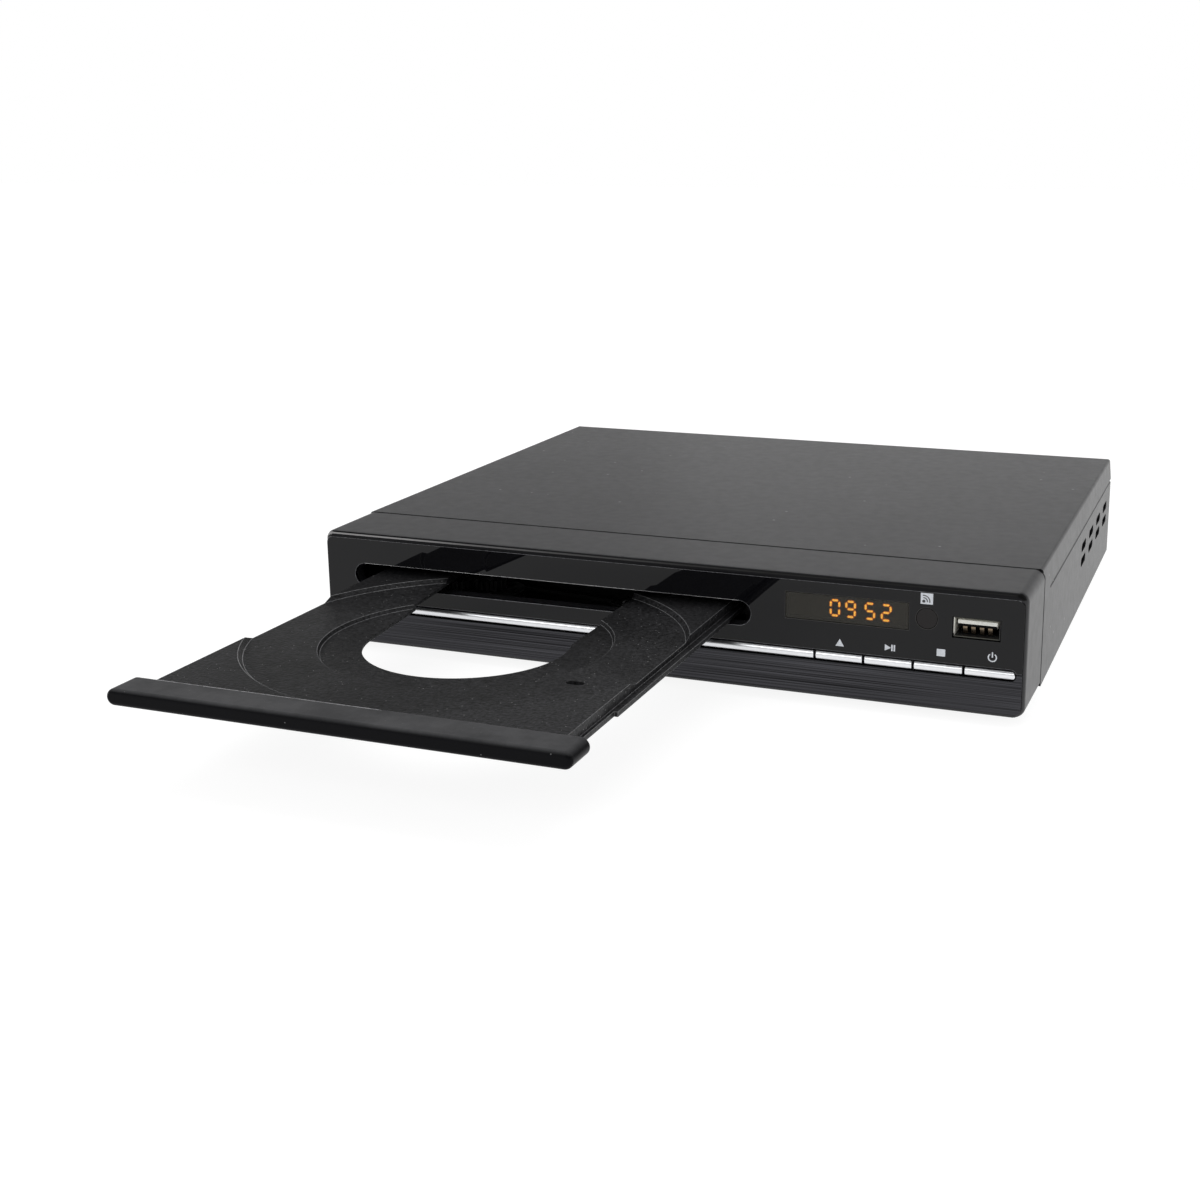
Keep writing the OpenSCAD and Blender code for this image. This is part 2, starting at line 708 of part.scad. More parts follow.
module tray() color("#29292b") at_loader() {
    rear = tray_y + tray_l;
    floor1 = tray_top - disc_z;
    floor2 = tray_top - small_z;
    difference() {
        union() {
            difference() {
                block(-tray_hw, tray_hw, tray_y, rear, tray_low, tray_top);
                block(-tray_hw + tray_wall, tray_hw - tray_wall, tray_y + tray_wall, rear - tray_wall, tray_low - 1,
                    floor1 - tray_floor);
            }
            post(0, disc_y, floor2 - tray_floor, floor1, small_r + 1);
            for (s = [0, 1]) mirror([s, 0, 0])
                block(tray_hw - 0.5, tray_hw + flange_w, tray_y + 27, rear, tray_low, tray_low + flange_t);
            for (s = [0, 1]) mirror([s, 0, 0])
                block(tray_hw - 0.5, tray_hw + flange_w / 2, tray_y, tray_y + 28, tray_low, tray_low + flange_t);
            block(tray_hw - 6.5, tray_hw - 5.3, tray_y + 1, rear - 1, tray_low + 0.2, floor1 - 0.2);
            for (y = [tray_y + 14, rear - 12])
                block(-small_r, tray_hw - 1, y, y + 1.2, tray_low + 0.2, floor1 - 0.2);
            rack();
        }
        intersection() {
            block(-tray_hw - 5, tray_hw + 5, tray_y + 1, rear, tray_low, tray_top + 2);
            recess(floor1, tray_top - floor1, disc_r, disc_lean);
        }
        recess(floor2, floor1 - floor2, small_r, small_lean);
        translate([0, 0, tray_low - 1]) linear_extrude(tray_top) cutout();
        translate([small_r + hole_d, disc_y - small_r * 0.56, tray_low - 1]) linear_extrude(tray_top)
            stadium(hole_w, hole_d);
    }
}

// Straight rack along the tray's left wall, its teeth turned inwards
module rack() {
    pitch = PI * rack_m;
    tip = rack_x + rack_m * addendum;
    root = rack_x - rack_m * dedendum;
    half_tip = pitch / 4 - rack_m * addendum * tan(20) - backlash / 2;
    half_root = pitch / 4 + rack_m * dedendum * tan(20) - backlash / 2;
    first = ceil((tray_y + 8 - gear_y) / pitch);
    last = floor((tray_y + tray_l - 4 - gear_y) / pitch);
    translate([0, 0, tray_low - 0.2]) linear_extrude(tray_top - disc_z - tray_low) {
        translate([-tray_hw + 0.5, tray_y + 3]) square([root + tray_hw - 0.5 + 0.05, tray_l - 4]);
        for (k = [first:last])
            translate([0, gear_y + (k + 0.5) * pitch]) polygon([[root, -half_root], [tip, -half_tip],
                [tip, half_tip], [root, half_root]]);
    }
}

module tray_lid() color("#202022") translate([load_x, tray_y - lid_d, lid_z_mid]) {
    r = lid_h / 2;
    x = lid_w / 2 - r;
    side_slab(-x, x) lid_section();
    for (s = [-1, 1])
        translate([s * x, 0, 0]) rotate([-90, 0, 0]) rotate_extrude() intersection() {
            rotate(-90) mirror([1, 0]) lid_section();
            square([r, lid_d]);
        }
}

module lid_section() {
    r = lid_h / 2;
    translate([lid_r, -r]) square([lid_d - lid_r, lid_h]);
    translate([0, lid_r - r]) square([lid_r + eps, lid_h - 2 * lid_r]);
    for (s = [-1, 1])
        translate([lid_r, s * (r - lid_r)]) circle(r = lid_r);
}

// ---- loader ----

module loader_frame() color("#8b8d90") at_loader() {
    top = tray_low - rail_gap;
    flange_top = tray_low + flange_t;
    floor_top = frame_z + 2;
    difference() {
        union() {
            difference() {
                block(-rail_x - frame_t, rail_x + frame_t, frame_y, frame_end, frame_z, floor_top);
                block(-37.5, 37.5, cam_y - 0.2, frame_end - 4, frame_z - 1, floor_top + 1);
                post(motor_x, gear_y, frame_z - 1, floor_top + 1, 12.3);
            }
            for (s = [0, 1]) mirror([s, 0, 0]) {
                block(rail_x, rail_x + frame_t, frame_y, frame_end, frame_z, 24);
                block(rail_x, rail_x + frame_t, spindle_y - bridge_w - 3, spindle_y + bridge_w + 3, frame_z, bridge_z);
                block(rail_x - 2, rail_x + 0.5, frame_y, frame_end, top - 1.6, top);
                for (y = [frame_y + 3, 62, 112, frame_end - 14])
                    block(rail_x - 1.9, rail_x + 0.5, y, y + 11, flange_top + rail_gap, flange_top + 1.2);
                block(37.7, 40.6, pivot_y - 5, pivot_y + 5, frame_z, pivot_z + 4);
                for (y = [22, 164]) {
                    block(rail_x + frame_t - 0.5, lug_x, y - lug_r, y + lug_r, sheet_t, floor_top + 1);
                    post(lug_x, y, sheet_t, floor_top + 1, lug_r);
                }
            }
            block(-40, 40, cam_y - 2.6, cam_y - 0.2, frame_z, 16);
            post(gear_x, gear_y, frame_z, 13.2, 2.4);
            post(gear_x, gear_y, frame_z, 21.2, 1.5);
            post(pulley_x, gear_y, frame_z, 10, 2.6);
            post(pulley_x, gear_y, frame_z, 17.2, 1.5);
            difference() {
                post(motor_x, gear_y, frame_z, 9.8, 13.8);
                post(motor_x, gear_y, frame_z - 1, 8.9, 12.3);
                post(motor_x, gear_y, frame_z - 1, 12, 3);
            }
        }
        for (s = [-1, 1]) {
            rod_along_x(s * 39.2 - 3, s * 39.2 + 3, pivot_y, pivot_z, 2 + shaft_gap);
            for (y = [22, 164])
                post(s * lug_x, y, 0, 10, 1.6);
        }
        block(-33, 33, cam_y - 4, cam_y, 14.5, 17);
    }
}

module clamp_bridge() color("#b4b6b9") at_loader() difference() {
    union() {
        block(-rail_x - frame_t, rail_x + frame_t, spindle_y - bridge_w, spindle_y + bridge_w, bridge_z,
            bridge_z + 1.6);
        for (y = [-bridge_w, bridge_w - 1.2])
            block(-rail_x + 4, rail_x - 4, spindle_y + y, spindle_y + y + 1.2, bridge_z + 1, bridge_z + 3.6);
    }
    post(0, spindle_y, 0, body_h, 10);
    for (s = [-1, 1])
        translate([s * 38, spindle_y, bridge_z - 1]) linear_extrude(3) stadium_up(12, 22);
}

module clamp_puck() color("#e4e4e0") at_loader() difference() {
    union() {
        post(0, spindle_y, bridge_z - 2.4, bridge_z - 0.5, puck_r);
        post(0, spindle_y, bridge_z - 1, bridge_z + 2.4, 9);
        post(0, spindle_y, bridge_z + 1.7, bridge_z + 3.2, 12.4);
    }
    post(0, spindle_y, 0, bridge_z - 1, 8.2);
    post(0, spindle_y, bridge_z + 2, body_h, 8);
}

module clamp_plate() color("#8f9296") at_loader() post(0, spindle_y, bridge_z + 2, bridge_z + 3.6, 7.9);

module loading_motor() color("#a8abb0") at_loader() {
    post(motor_x, gear_y, 1.4, 8.8, 12);
    post(motor_x, gear_y, 8.7, 9.7, 2.8);
    post(motor_x, gear_y, 8, belt_z + 1.8, 1);
}

module pulley_profile(r, h) {
    polygon([[1, -h], [r + 1, -h], [r + 1, 0.1 - h / 2 - belt_t / 4], [r - belt_t / 2 - shaft_gap, -belt_t / 2 - 0.1],
        [r - belt_t / 2 - shaft_gap, belt_t / 2 + 0.1], [r + 1, h / 2 + belt_t / 4 - 0.1], [r + 1, h], [1, h]]);
}

module motor_pulley() color("#e0e0dc") at_loader() translate([motor_x, gear_y, belt_z])
    rotate_extrude() difference() {
        pulley_profile(belt_r2, 1.5);
        translate([-1, -5]) square([2 + shaft_gap, 10]);
    }

function arc(c, r, a0, a1, n) = [for (i = [0:n]) c + r * [cos(a0 + (a1 - a0) * i / n), sin(a0 + (a1 - a0) * i / n)]];

function belt_path(extra) =
    let (slope = asin((belt_r1 - belt_r2) / belt_l))
    concat(arc([0, 0], belt_r1 + extra, 90 - slope, 270 + slope, 32),
        arc([belt_l, 0], belt_r2 + extra, slope - 90, 90 - slope, 24));

module drive_belt() color("#141414") translate([load_x + pulley_x, gear_y, belt_z - belt_t / 2])
    linear_extrude(belt_t) difference() {
        polygon(belt_path(belt_t / 2));
        polygon(belt_path(-belt_t / 2 + 0.03));
    }

module pulley_gear() color("#e9e7df") at_loader() translate([pulley_x, gear_y, 0]) difference() {
    union() {
        translate([0, 0, belt_z]) rotate_extrude() pulley_profile(belt_r1, 1.3);
        post(0, 0, belt_z - 1.3, 17, 3);
        translate([0, 0, 13.2]) linear_extrude(3.6) rotate(180 / small_teeth) gear_outline(gear_m, small_teeth);
    }
    post(0, 0, 0, body_h, 1.5 + shaft_gap);
    for (k = [0:5])
        rotate(k * 60) post(7, 0, belt_z - 3, belt_z + 1.6, 2);
}

module tray_gear() color("#e9e7df") at_loader() translate([gear_x, gear_y, 0]) difference() {
    union() {
        translate([0, 0, 13.4]) linear_extrude(3) gear_outline(gear_m, wheel_teeth);
        post(0, 0, 13.4, 19.1, 4.4);
        translate([0, 0, 19]) linear_extrude(2.1) gear_outline(rack_m, pinion_teeth);
    }
    post(0, 0, 0, body_h, 1.5 + shaft_gap);
    for (k = [0:4])
        rotate(k * 72) post(7, 0, 10, 18, 1.3);
}

// ---- cam and traverse, drawn level and then lowered ----

function pin_low() = pin_z - (pivot_y - cam_y - cam_t / 2) * sin(tilt) + (pin_z - pivot_z) * (cos(tilt) - 1);

module cam_slider() color("#dcdad2") at_loader() {
    rise = pin_z - pin_low();
    slope = atan2(rise, cam_travel);
    len = sqrt(rise * rise + cam_travel * cam_travel);
    front_slab(cam_y, cam_y + cam_t) difference() {
        translate([-cam_travel - 8, 1.2]) square([cam_travel + 20, 17.4]);
        translate([0, pin_low()]) circle(r = pin_r + 0.35);
        translate([-cam_travel, pin_z]) circle(r = pin_r + 0.35);
        translate([0, pin_low()]) rotate(180 - slope) translate([0, -pin_r - 0.35]) square([len, 2 * pin_r + 0.7]);
    }
}

module lift_frame() color("#77797d") on_lift() {
    difference() {
        block(-35, 35, 56, pivot_y + 4, pin_z - 3.6, pin_z - 0.8);
        block(-29.5, 29.5, 60, pivot_y - 4, 0, body_h);
    }
    block(-5, 5, 56, 59, pin_z - 3.6, pin_z + 1.5);
    rod_along_y(0, cam_y + 0.1, 57, pin_z, pin_r);
    for (s = [-1, 1])
        rod_along_x(min(s * 34, s * 40.2), max(s * 34, s * 40.2), pivot_y, pivot_z, 2);
    for (p = damper_at())
        post(p[0], p[1], pin_z - 3.6, plate_z + 0.4, 1);
}

function damper_at() = [for (x = [-32, 32], y = [66, 150]) [x, y]];

module dampers() color("#2f3236") on_lift() {
    for (p = damper_at()) difference() {
        post(p[0], p[1], pin_z - 0.8, plate_z, 2.9);
        post(p[0], p[1], 0, body_h, 1.1);
    }
}

module traverse_plate() color("#b9bcc0") on_lift() difference() {
    union() {
        block(-34.5, 34.5, 58.5, sled_end + 8.5, plate_z, plate_z + plate_t);
        for (s = [-1, 1], y = [80, sled_end + 1])
            block(s * rod_x - 2.4, s * rod_x + 2.4, y, y + 2, rod_z - 2.4, plate_z + 0.5);
        block(screw_x - 2.6, screw_x + 2.6, 82.2, 83.8, screw_z - 2.4, plate_z + 0.5);
    }
    block(-21.5, 21.5, 84, sled_end, plate_z - 0.1, plate_z + 3);
    post(0, spindle_y, 0, body_h, 9);
    for (p = damper_at())
        post(p[0], p[1], 0, body_h, 1.2);
    for (s = [-1, 1])
        rod_along_y(s * rod_x, 70, 160, rod_z, rod_r + 0.02);
    rod_along_y(screw_x, 80, 86, screw_z, 1 + shaft_gap);
}

module spindle_motor() color("#8d9095") on_lift() difference() {
    union() {
        post(0, spindle_y, 13.2, plate_z, 12);
        post(0, spindle_y, 13, plate_z + 1, 5);
    }
    post(0, spindle_y, 13.5, body_h, 1 + shaft_gap);
}

module turntable() color("#303236") on_lift() translate([0, spindle_y, 0]) {
    post(0, 0, 13.6, table_z - 1.3, 1);
    rotate_extrude() polygon([[0, 18.4], [7, 18.4], [7, table_z - 2.5], [turn_r, table_z - 2.5], [turn_r, table_z],
        [7.4, table_z], [7.4, hub_top - 1.2], [6.2, hub_top], [0, hub_top]]);
}

module turntable_pad() color("#1a1a1a") on_lift() translate([0, spindle_y, table_z]) difference() {
    cylinder(h = 0.3, r = 14.3);
    translate([0, 0, -1]) cylinder(h = 3, r = 10);
}

module pickup() color("#4a4d52") on_lift() difference() {
    union() {
        block(-20, 20, 85, 109, 16.2, 22);
        block(-14, 14, 87, 107, 21, 23);
        for (s = [-1, 1])
            block(min(s * 19, s * 28.5), max(s * 19, s * 28.5), 87, 107, rod_z - 1.8, rod_z + 1.8);
        block(screw_x - 2.8, screw_x + 2.8, 94, 99, screw_z - 2.4, 17);
    }
    for (s = [-1, 1])
        rod_along_y(s * rod_x, 80, 112, rod_z, rod_r + shaft_gap);
    rod_along_y(screw_x, 80, 112, screw_z, 1.5 + shaft_gap);
    post(0, spindle_y + 24, 21.5, body_h, 4.6);
    post(0, spindle_y, 0, body_h, turn_r + 0.8);
}

module pickup_lens() color("#9fb6d8", 0.7) on_lift() translate([0, spindle_y + 24, 0]) rotate_extrude()
    polygon([[0, 21.5], [4.4, 21.5], [4.4, 23.4], [3, 23.4], [2.6, 24], [1.2, 24.3], [0, 24.3]]);

module guide_rods() color("#d5d8db") on_lift() {
    for (s = [-1, 1])
        rod_along_y(s * rod_x, 79.5, sled_end + 3.5, rod_z, rod_r);
}

module lead_screw() color("#c9ccd0") on_lift() translate([screw_x, 0, screw_z]) {
    rod_along_y(0, 82.4, sled_end + 1, 0, 1);
    for (k = [0:floor(60 / screw_lead)])
        rod_along_y(0, 86 + k * screw_lead, 86 + k * screw_lead + screw_lead / 2, 0, 1.5);
}

module sled_motor() color("#a8abb0") on_lift() difference() {
    union() {
        rod_along_y(screw_x, sled_end + 1.4, sled_end + 8, screw_z, 4.5);
        block(screw_x - 3, screw_x + 3, sled_end + 2, sled_end + 7, screw_z, plate_z);
    }
    rod_along_y(screw_x, sled_end, sled_end + 3, screw_z, 1 + shaft_gap);
}

// ---- electronics ----

function main_holes() = [for (x = [main_x0 + 3.4, main_x1 - 4], y = [board_y + 6, back_holes_y]) [x, y]];
function power_holes() = [for (x = [power_x0 + 4, power_x1 - 4.5], y = [board_y + 6, back_holes_y - 6]) [x, y]];
function av_holes() = [for (x = [av_x0 + 6, av_x1 - 20]) [x, back_holes_y]];
function board_holes() = concat(main_holes(), power_holes(), av_holes());

module board(x0, x1, y0, y1) difference() {
    block(x0, x1, y0, y1, board_z, board_top);
    for (p = board_holes())
        post(p[0], p[1], 0, body_h, 1.6);
}

module main_board() color("#1d4a2c") board(main_x0, main_x1, board_y, wall_y - 1.4);

module power_board() color("#8a6a3a") board(power_x0, power_x1, board_y, wall_y - 1.4);

module av_board() color("#1d4a2c") board(av_x0, av_x1, wall_y - 21.9, wall_y - 1.4);

module standoffs() color("#b9bcc0") {
    for (p = board_holes()) difference() {
        post(p[0], p[1], sheet_t, board_z, 2.8);
        post(p[0], p[1], sheet_t - 1, board_z + 1, 1.45);
    }
}

module screw_down(p, z, low) {
    difference() {
        union() {
            post(p[0], p[1], low, z + 0.1, 1.4);
            post(p[0], p[1], z, z + 1.5, 2.7);
        }
        for (a = [0, 90])
            translate([p[0], p[1], z + 1.3]) rotate(a) cube([3, 0.6, 1], center = true);
    }
}

module screws() color("#a0a3a8") {
    for (p = board_holes())
        screw_down(p, board_top, 2);
    for (p = frame_screw_at())
        screw_down(p, frame_z + 3, 0);
}

module board_chips() color("#1c1c1e") {
    chip_x0 = main_x0 + 5.8;
    chip_x1 = main_x1 - 10;
    block(chip_x0, chip_x1, board_y + 42, board_y + 64, board_top, board_top + 2);
    for (y = [board_y + 70, board_y + 84])
        block(chip_x0, chip_x1, y, y + 10.2, board_top, board_top + 1.1);
    block(main_x0 + 1.8, main_x0 + 6.8, board_y + 30, board_y + 35, board_top, board_top + 1.6);
    block(main_mid - 7.5, main_mid + 7.5, board_y + 14, board_y + 22, board_top, board_top + 2);
    block(main_x0 + 1.8, main_x0 + 6.8, board_y + 99, board_y + 106, board_top, board_top + 1);
    for (p = [[5, 30], [5, 38], [12, 30], [12, 99], [12, 107], [5, 99]])
        post(main_x1 - p[0], board_y + p[1], board_top, board_top + 7, 3);
}

module transformer() color("#3a3530") {
    core_x = power_x0 + 18;
    core_y = board_y + 65;
    for (z = [0, 12])
        block(core_x - 10, core_x + 10, core_y - 9, core_y + 9, board_top + z, board_top + z + 5);
    for (x = [core_x - 10, core_x + 6])
        block(x, x + 4, core_y - 9, core_y + 9, board_top + 4, board_top + 13);
    post(core_x, core_y, board_top + 4.9, board_top + 12.1, 5.6);
}

module capacitors() color("#232a4a") {
    rod_along_y(power_x0 + 10, board_y + 22, board_y + 46, board_top + 8, 8);
    for (p = [[6, 82], [16, 82], [6, 91]])
        post(power_x0 + p[0], board_y + p[1], board_top, board_top + 13, 4);
}

module heat_sink() color("#c4c7ca") {
    x0 = power_x1 - 11;
    y0 = board_y + 22;
    block(x0, x0 + 8, y0, y0 + 2, board_top, board_top + 20);
    for (k = [0:3])
        block(x0 + k * 2.2, x0 + 1.2 + k * 2.2, y0 + 1.5, y0 + 24, board_top + 4, board_top + 20);
    block(x0, x0 + 8, y0 + 1, y0 + 24, board_top + 2.6, board_top + 4.1);
}

module jack_block() color("#232325") {
    for (g = [[jack_x[0] - 6, jack_x[2] + 6], [jack_x[3] - 6, jack_x[3] + 6]]) difference() {
        block(g[0], g[1], wall_y - 11, wall_y, board_top, jack_z + jack_r + 1.4);
        for (x = jack_x)
            rod_along_y(x, wall_y - 9, wall_y + 1, jack_z, jack_r + 0.05);
    }
}

module jack_sleeves() color("#d8dadc") {
    for (x = jack_x) difference() {
        rod_along_y(x, wall_y - 8, rear_y + jack_l, jack_z, jack_r);
        rod_along_y(x, wall_y - 7, rear_y + jack_l + 1, jack_z, 1.65);
    }
}

module jack_collars() color("#d8b53a") {
    for (x = jack_x) difference() {
        rod_along_y(x, wall_y, rear_y + 2, jack_z, jack_r + 1.4);
        rod_along_y(x, wall_y - 1, rear_y + 3, jack_z, jack_r + 0.05);
    }
}

module hdmi_outline(grow) {
    w = 7 + grow;
    polygon([[-w, 5.6 + grow], [-w, 2.4], [-w + 1.6, 0.8 - grow], [w - 1.6, 0.8 - grow], [w, 2.4], [w, 5.6 + grow]]);
}

module hdmi_shell() color("#c4c7ca") translate([main_mid, 0, board_top]) difference() {
    union() {
        front_slab(wall_y - 10, rear_y + 0.6) hdmi_outline(0.4);
        for (s = [-1, 1])
            block(s * 6 - 0.5, s * 6 + 0.5, wall_y - 9, wall_y - 2, 0, 2);
    }
    front_slab(wall_y - 9.4, rear_y + 2) hdmi_outline(0);
}

module hdmi_insert() color("#1a1a1a") translate([main_mid, 0, board_top]) {
    block(-5, 5, wall_y - 9.4, wall_y - 6, 1, 5.4);
    block(-5, 5, wall_y - 7, rear_y - 0.6, 3.4, 4.6);
}

module mains_inlet() color("#1e1e20") translate([inlet_x, 0, inlet_z]) difference() {
    union() {
        front_slab(wall_y - 16, rear_y + 1.2) square([22, 15], center = true);
        front_slab(rear_y, rear_y + 1.2) square([26, 19], center = true);
        block(-9, 9, wall_y - 14, wall_y - 4, -8, -7);
    }
    front_slab(wall_y - 10, rear_y + 3) {
        for (s = [-1, 1])
            translate([s * 4.3, 0]) circle(r = 4);
        square([8.6, 5.6], center = true);
    }
    for (s = [-1, 1])
        rod_along_y(s * 4.3, wall_y - 20, rear_y, 0, 1.25);
}

module inlet_pins() color("#d0b060") translate([inlet_x, 0, inlet_z]) {
    for (s = [-1, 1])
        rod_along_y(s * 4.3, wall_y - 18, rear_y - 1.5, 0, 1.2);
}

// ---- nodes ----

placed() chassis();
placed() top_cover();
placed() cover_screws();
placed() feet();
placed() front_bezel();
placed() gloss_panel();
placed() lower_panel();
placed() silver_strip();
placed() key(0);  // button_eject
placed() key(1);  // button_play
placed() key(2);  // button_stop
placed() key(3);  // button_power
placed() display_window();
placed() display_module();
placed() display_segments();
placed() ir_window();
placed() ir_receiver();
placed() usb_shell();
placed() usb_insert();
placed() front_board();
placed() tact_switches();
placed() loader_frame();
placed() tray();
placed() tray_lid();
placed() clamp_bridge();
placed() clamp_puck();
placed() clamp_plate();
placed() loading_motor();
placed() motor_pulley();
placed() drive_belt();
placed() pulley_gear();
placed() tray_gear();
placed() cam_slider();
placed() lift_frame();
placed() dampers();
placed() traverse_plate();
placed() spindle_motor();
placed() turntable();
placed() turntable_pad();
placed() pickup();
placed() pickup_lens();
placed() guide_rods();
placed() lead_screw();
placed() sled_motor();
placed() main_board();
placed() board_chips();
placed() power_board();
placed() transformer();
placed() capacitors();
placed() heat_sink();
placed() av_board();
placed() jack_block();
placed() jack_sleeves();
placed() jack_collars();
placed() hdmi_shell();
placed() hdmi_insert();
placed() mains_inlet();
placed() inlet_pins();
placed() standoffs();
placed() screws();
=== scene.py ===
"""Looks of the disc player: camera, light, dressed pieces and their finishes."""
import json
import math

import bmesh
import bpy
from mathutils import Matrix, Vector


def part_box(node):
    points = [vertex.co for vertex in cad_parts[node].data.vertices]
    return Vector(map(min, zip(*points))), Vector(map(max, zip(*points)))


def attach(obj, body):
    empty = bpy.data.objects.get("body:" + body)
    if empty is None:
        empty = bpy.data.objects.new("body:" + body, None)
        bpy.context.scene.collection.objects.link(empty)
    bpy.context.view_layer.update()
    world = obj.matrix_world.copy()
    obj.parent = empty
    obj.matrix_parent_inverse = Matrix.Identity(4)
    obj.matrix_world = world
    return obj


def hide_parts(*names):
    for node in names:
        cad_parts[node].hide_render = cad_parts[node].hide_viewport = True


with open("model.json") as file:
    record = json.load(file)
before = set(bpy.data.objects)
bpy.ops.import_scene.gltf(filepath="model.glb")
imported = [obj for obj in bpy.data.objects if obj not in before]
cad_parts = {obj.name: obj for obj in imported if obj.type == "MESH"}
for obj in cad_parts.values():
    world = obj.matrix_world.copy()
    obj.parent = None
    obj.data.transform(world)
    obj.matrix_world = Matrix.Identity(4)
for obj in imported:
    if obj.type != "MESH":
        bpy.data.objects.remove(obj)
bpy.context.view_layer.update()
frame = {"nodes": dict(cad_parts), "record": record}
nodes = frame["nodes"]
slot_of = {s["node"]: s["material_slot"] for s in frame["record"]["subparts"]}
body_of = {n: b for b, members in frame["record"]["behaviour"]["bodies"].items() for n in members}


# ---- places ----

MM = 0.001
FRONT_Y = 42.5  # millimetres from the front face back to the frame's origin
FOOT_H = 3.0    # millimetres from the frame's origin, on the floor, up to the chassis


def at(x, y, z):
    """Millimetres from the front face's middle and the chassis, as a point of the frame."""
    return Vector((x, y - FRONT_Y, z + FOOT_H)) * MM


def in_mm(point):
    """A point of the frame, in millimetres from the front face's middle and the chassis."""
    return point.x / MM, point.y / MM + FRONT_Y, point.z / MM - FOOT_H


def box_mm(node):
    """A node's lowest and highest corners at rest, in the millimetres that at() takes."""
    low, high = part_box(node)
    return [round(v, 2) for v in in_mm(low)], [round(v, 2) for v in in_mm(high)]


def add_object(name, data):
    """A new object of the scene."""
    obj = bpy.data.objects.new(name, data)
    bpy.context.scene.collection.objects.link(obj)
    return obj


# ---- shader nodes ----

WHITE = (1, 1, 1, 1)


def feed(tree, value, socket):
    """Sets an input to a plain value, or links it to another node's output."""
    if isinstance(value, bpy.types.NodeSocket):
        tree.links.new(value, socket)
    else:
        socket.default_value = value


def add_node(tree, kind, *values, operation=None, **named):
    """A shader node with its inputs fed in order, or by their names with _ for a blank."""
    node = tree.nodes.new("ShaderNode" + kind)
    if operation:
        node.operation = operation
    for place, value in enumerate(values):
        feed(tree, value, node.inputs[place])
    for name, value in named.items():
        feed(tree, value, node.inputs[name.replace("_", " ")])
    return node


def calculate(tree, operation, a, b):
    """Two levels put together by a sum, a product, a comparison or the like."""
    return add_node(tree, "Math", a, b, operation=operation).outputs[0]


def spread(tree, level, low, high, to_low=0.0, to_high=1.0):
    """A level between low and high, carried over to the range from to_low to to_high."""
    return add_node(tree, "MapRange", level, low, high, to_low, to_high).outputs[0]


def noise(tree, place, scale, detail, roughness=0.5):
    """A soft random level at each place."""
    texture = add_node(tree, "TexNoise", Vector=place, Scale=scale, Detail=detail, Roughness=roughness)
    return texture.outputs[0]


def mix_colours(tree, share, first, second, blend="MIX"):
    """Two colours mixed, or blended in another way, by a share."""
    mix = tree.nodes.new("ShaderNodeMix")
    mix.data_type = "RGBA"
    mix.blend_type = blend
    share_input, first_input, second_input, colour_output = 0, 6, 7, 2
    for place, value in ((share_input, share), (first_input, first), (second_input, second)):
        feed(tree, value, mix.inputs[place])
    return mix.outputs[colour_output]


def seen_directly(tree):
    """1 for camera, mirror and glass rays, 0 for the rays that carry light."""
    path = add_node(tree, "LightPath")
    total = path.outputs["Is Camera Ray"]
    for name in ("Is Glossy Ray", "Is Transmission Ray"):
        total = calculate(tree, "MAXIMUM", total, path.outputs[name])
    return total


# ---- camera, floor and light ----

PHOTO_PX = 1200
FOCAL_PX = 1634.15
CENTRE_PX = (665.741, 522.758)
CAMERA_PLACE = (174.472, -436.265, 160.751)
CAMERA_TURN = (21.145, -13.550, -0.418)  # yaw, pitch and roll in degrees
SENSOR_MM = 36


def make_camera():
    """The camera that was fitted to the photograph's edges."""
    yaw, pitch, roll = (math.radians(angle) for angle in CAMERA_TURN)
    ahead = Vector((-math.sin(yaw) * math.cos(pitch), math.cos(yaw) * math.cos(pitch), math.sin(pitch)))
    right = Vector((math.cos(yaw), math.sin(yaw), 0))
    up = right.cross(ahead)
    x = math.cos(roll) * right + math.sin(roll) * up
    y = -math.sin(roll) * right + math.cos(roll) * up
    data = bpy.data.cameras.new("camera")
    data.sensor_width = SENSOR_MM
    data.lens = FOCAL_PX * SENSOR_MM / PHOTO_PX
    data.shift_x = -(CENTRE_PX[0] - PHOTO_PX / 2) / PHOTO_PX
    data.shift_y = (CENTRE_PX[1] - PHOTO_PX / 2) / PHOTO_PX
    data.clip_start = 0.01
    camera = add_object("camera", data)
    turn = Matrix((x, y, -ahead)).transposed().to_4x4()
    camera.matrix_world = Matrix.Translation(at(*CAMERA_PLACE)) @ turn
    bpy.context.scene.camera = camera


def make_world():
    """Plain light from all round. Seen directly, it is white at the horizon and darker above."""
    light_strength, dark_strength = 0.5, 0.2
    white_below, dark_above = 0.18, 0.25
    world = bpy.data.worlds.new("studio")
    bpy.context.scene.world = world
    world.use_nodes = True
    tree = world.node_tree
    light = tree.nodes["Background"]
    light.inputs["Color"].default_value = WHITE
    light.inputs["Strength"].default_value = light_strength
    ray = add_node(tree, "TexCoord").outputs["Generated"]
    height = add_node(tree, "SeparateXYZ", ray).outputs["Z"]
    strength = spread(tree, height, white_below, dark_above, 1.0, dark_strength)
    shown = add_node(tree, "Background", Color=WHITE, Strength=strength)
    mix = add_node(tree, "MixShader", seen_directly(tree), light.outputs[0], shown.outputs[0])
    tree.links.new(mix.outputs[0], tree.nodes["World Output"].inputs["Surface"])


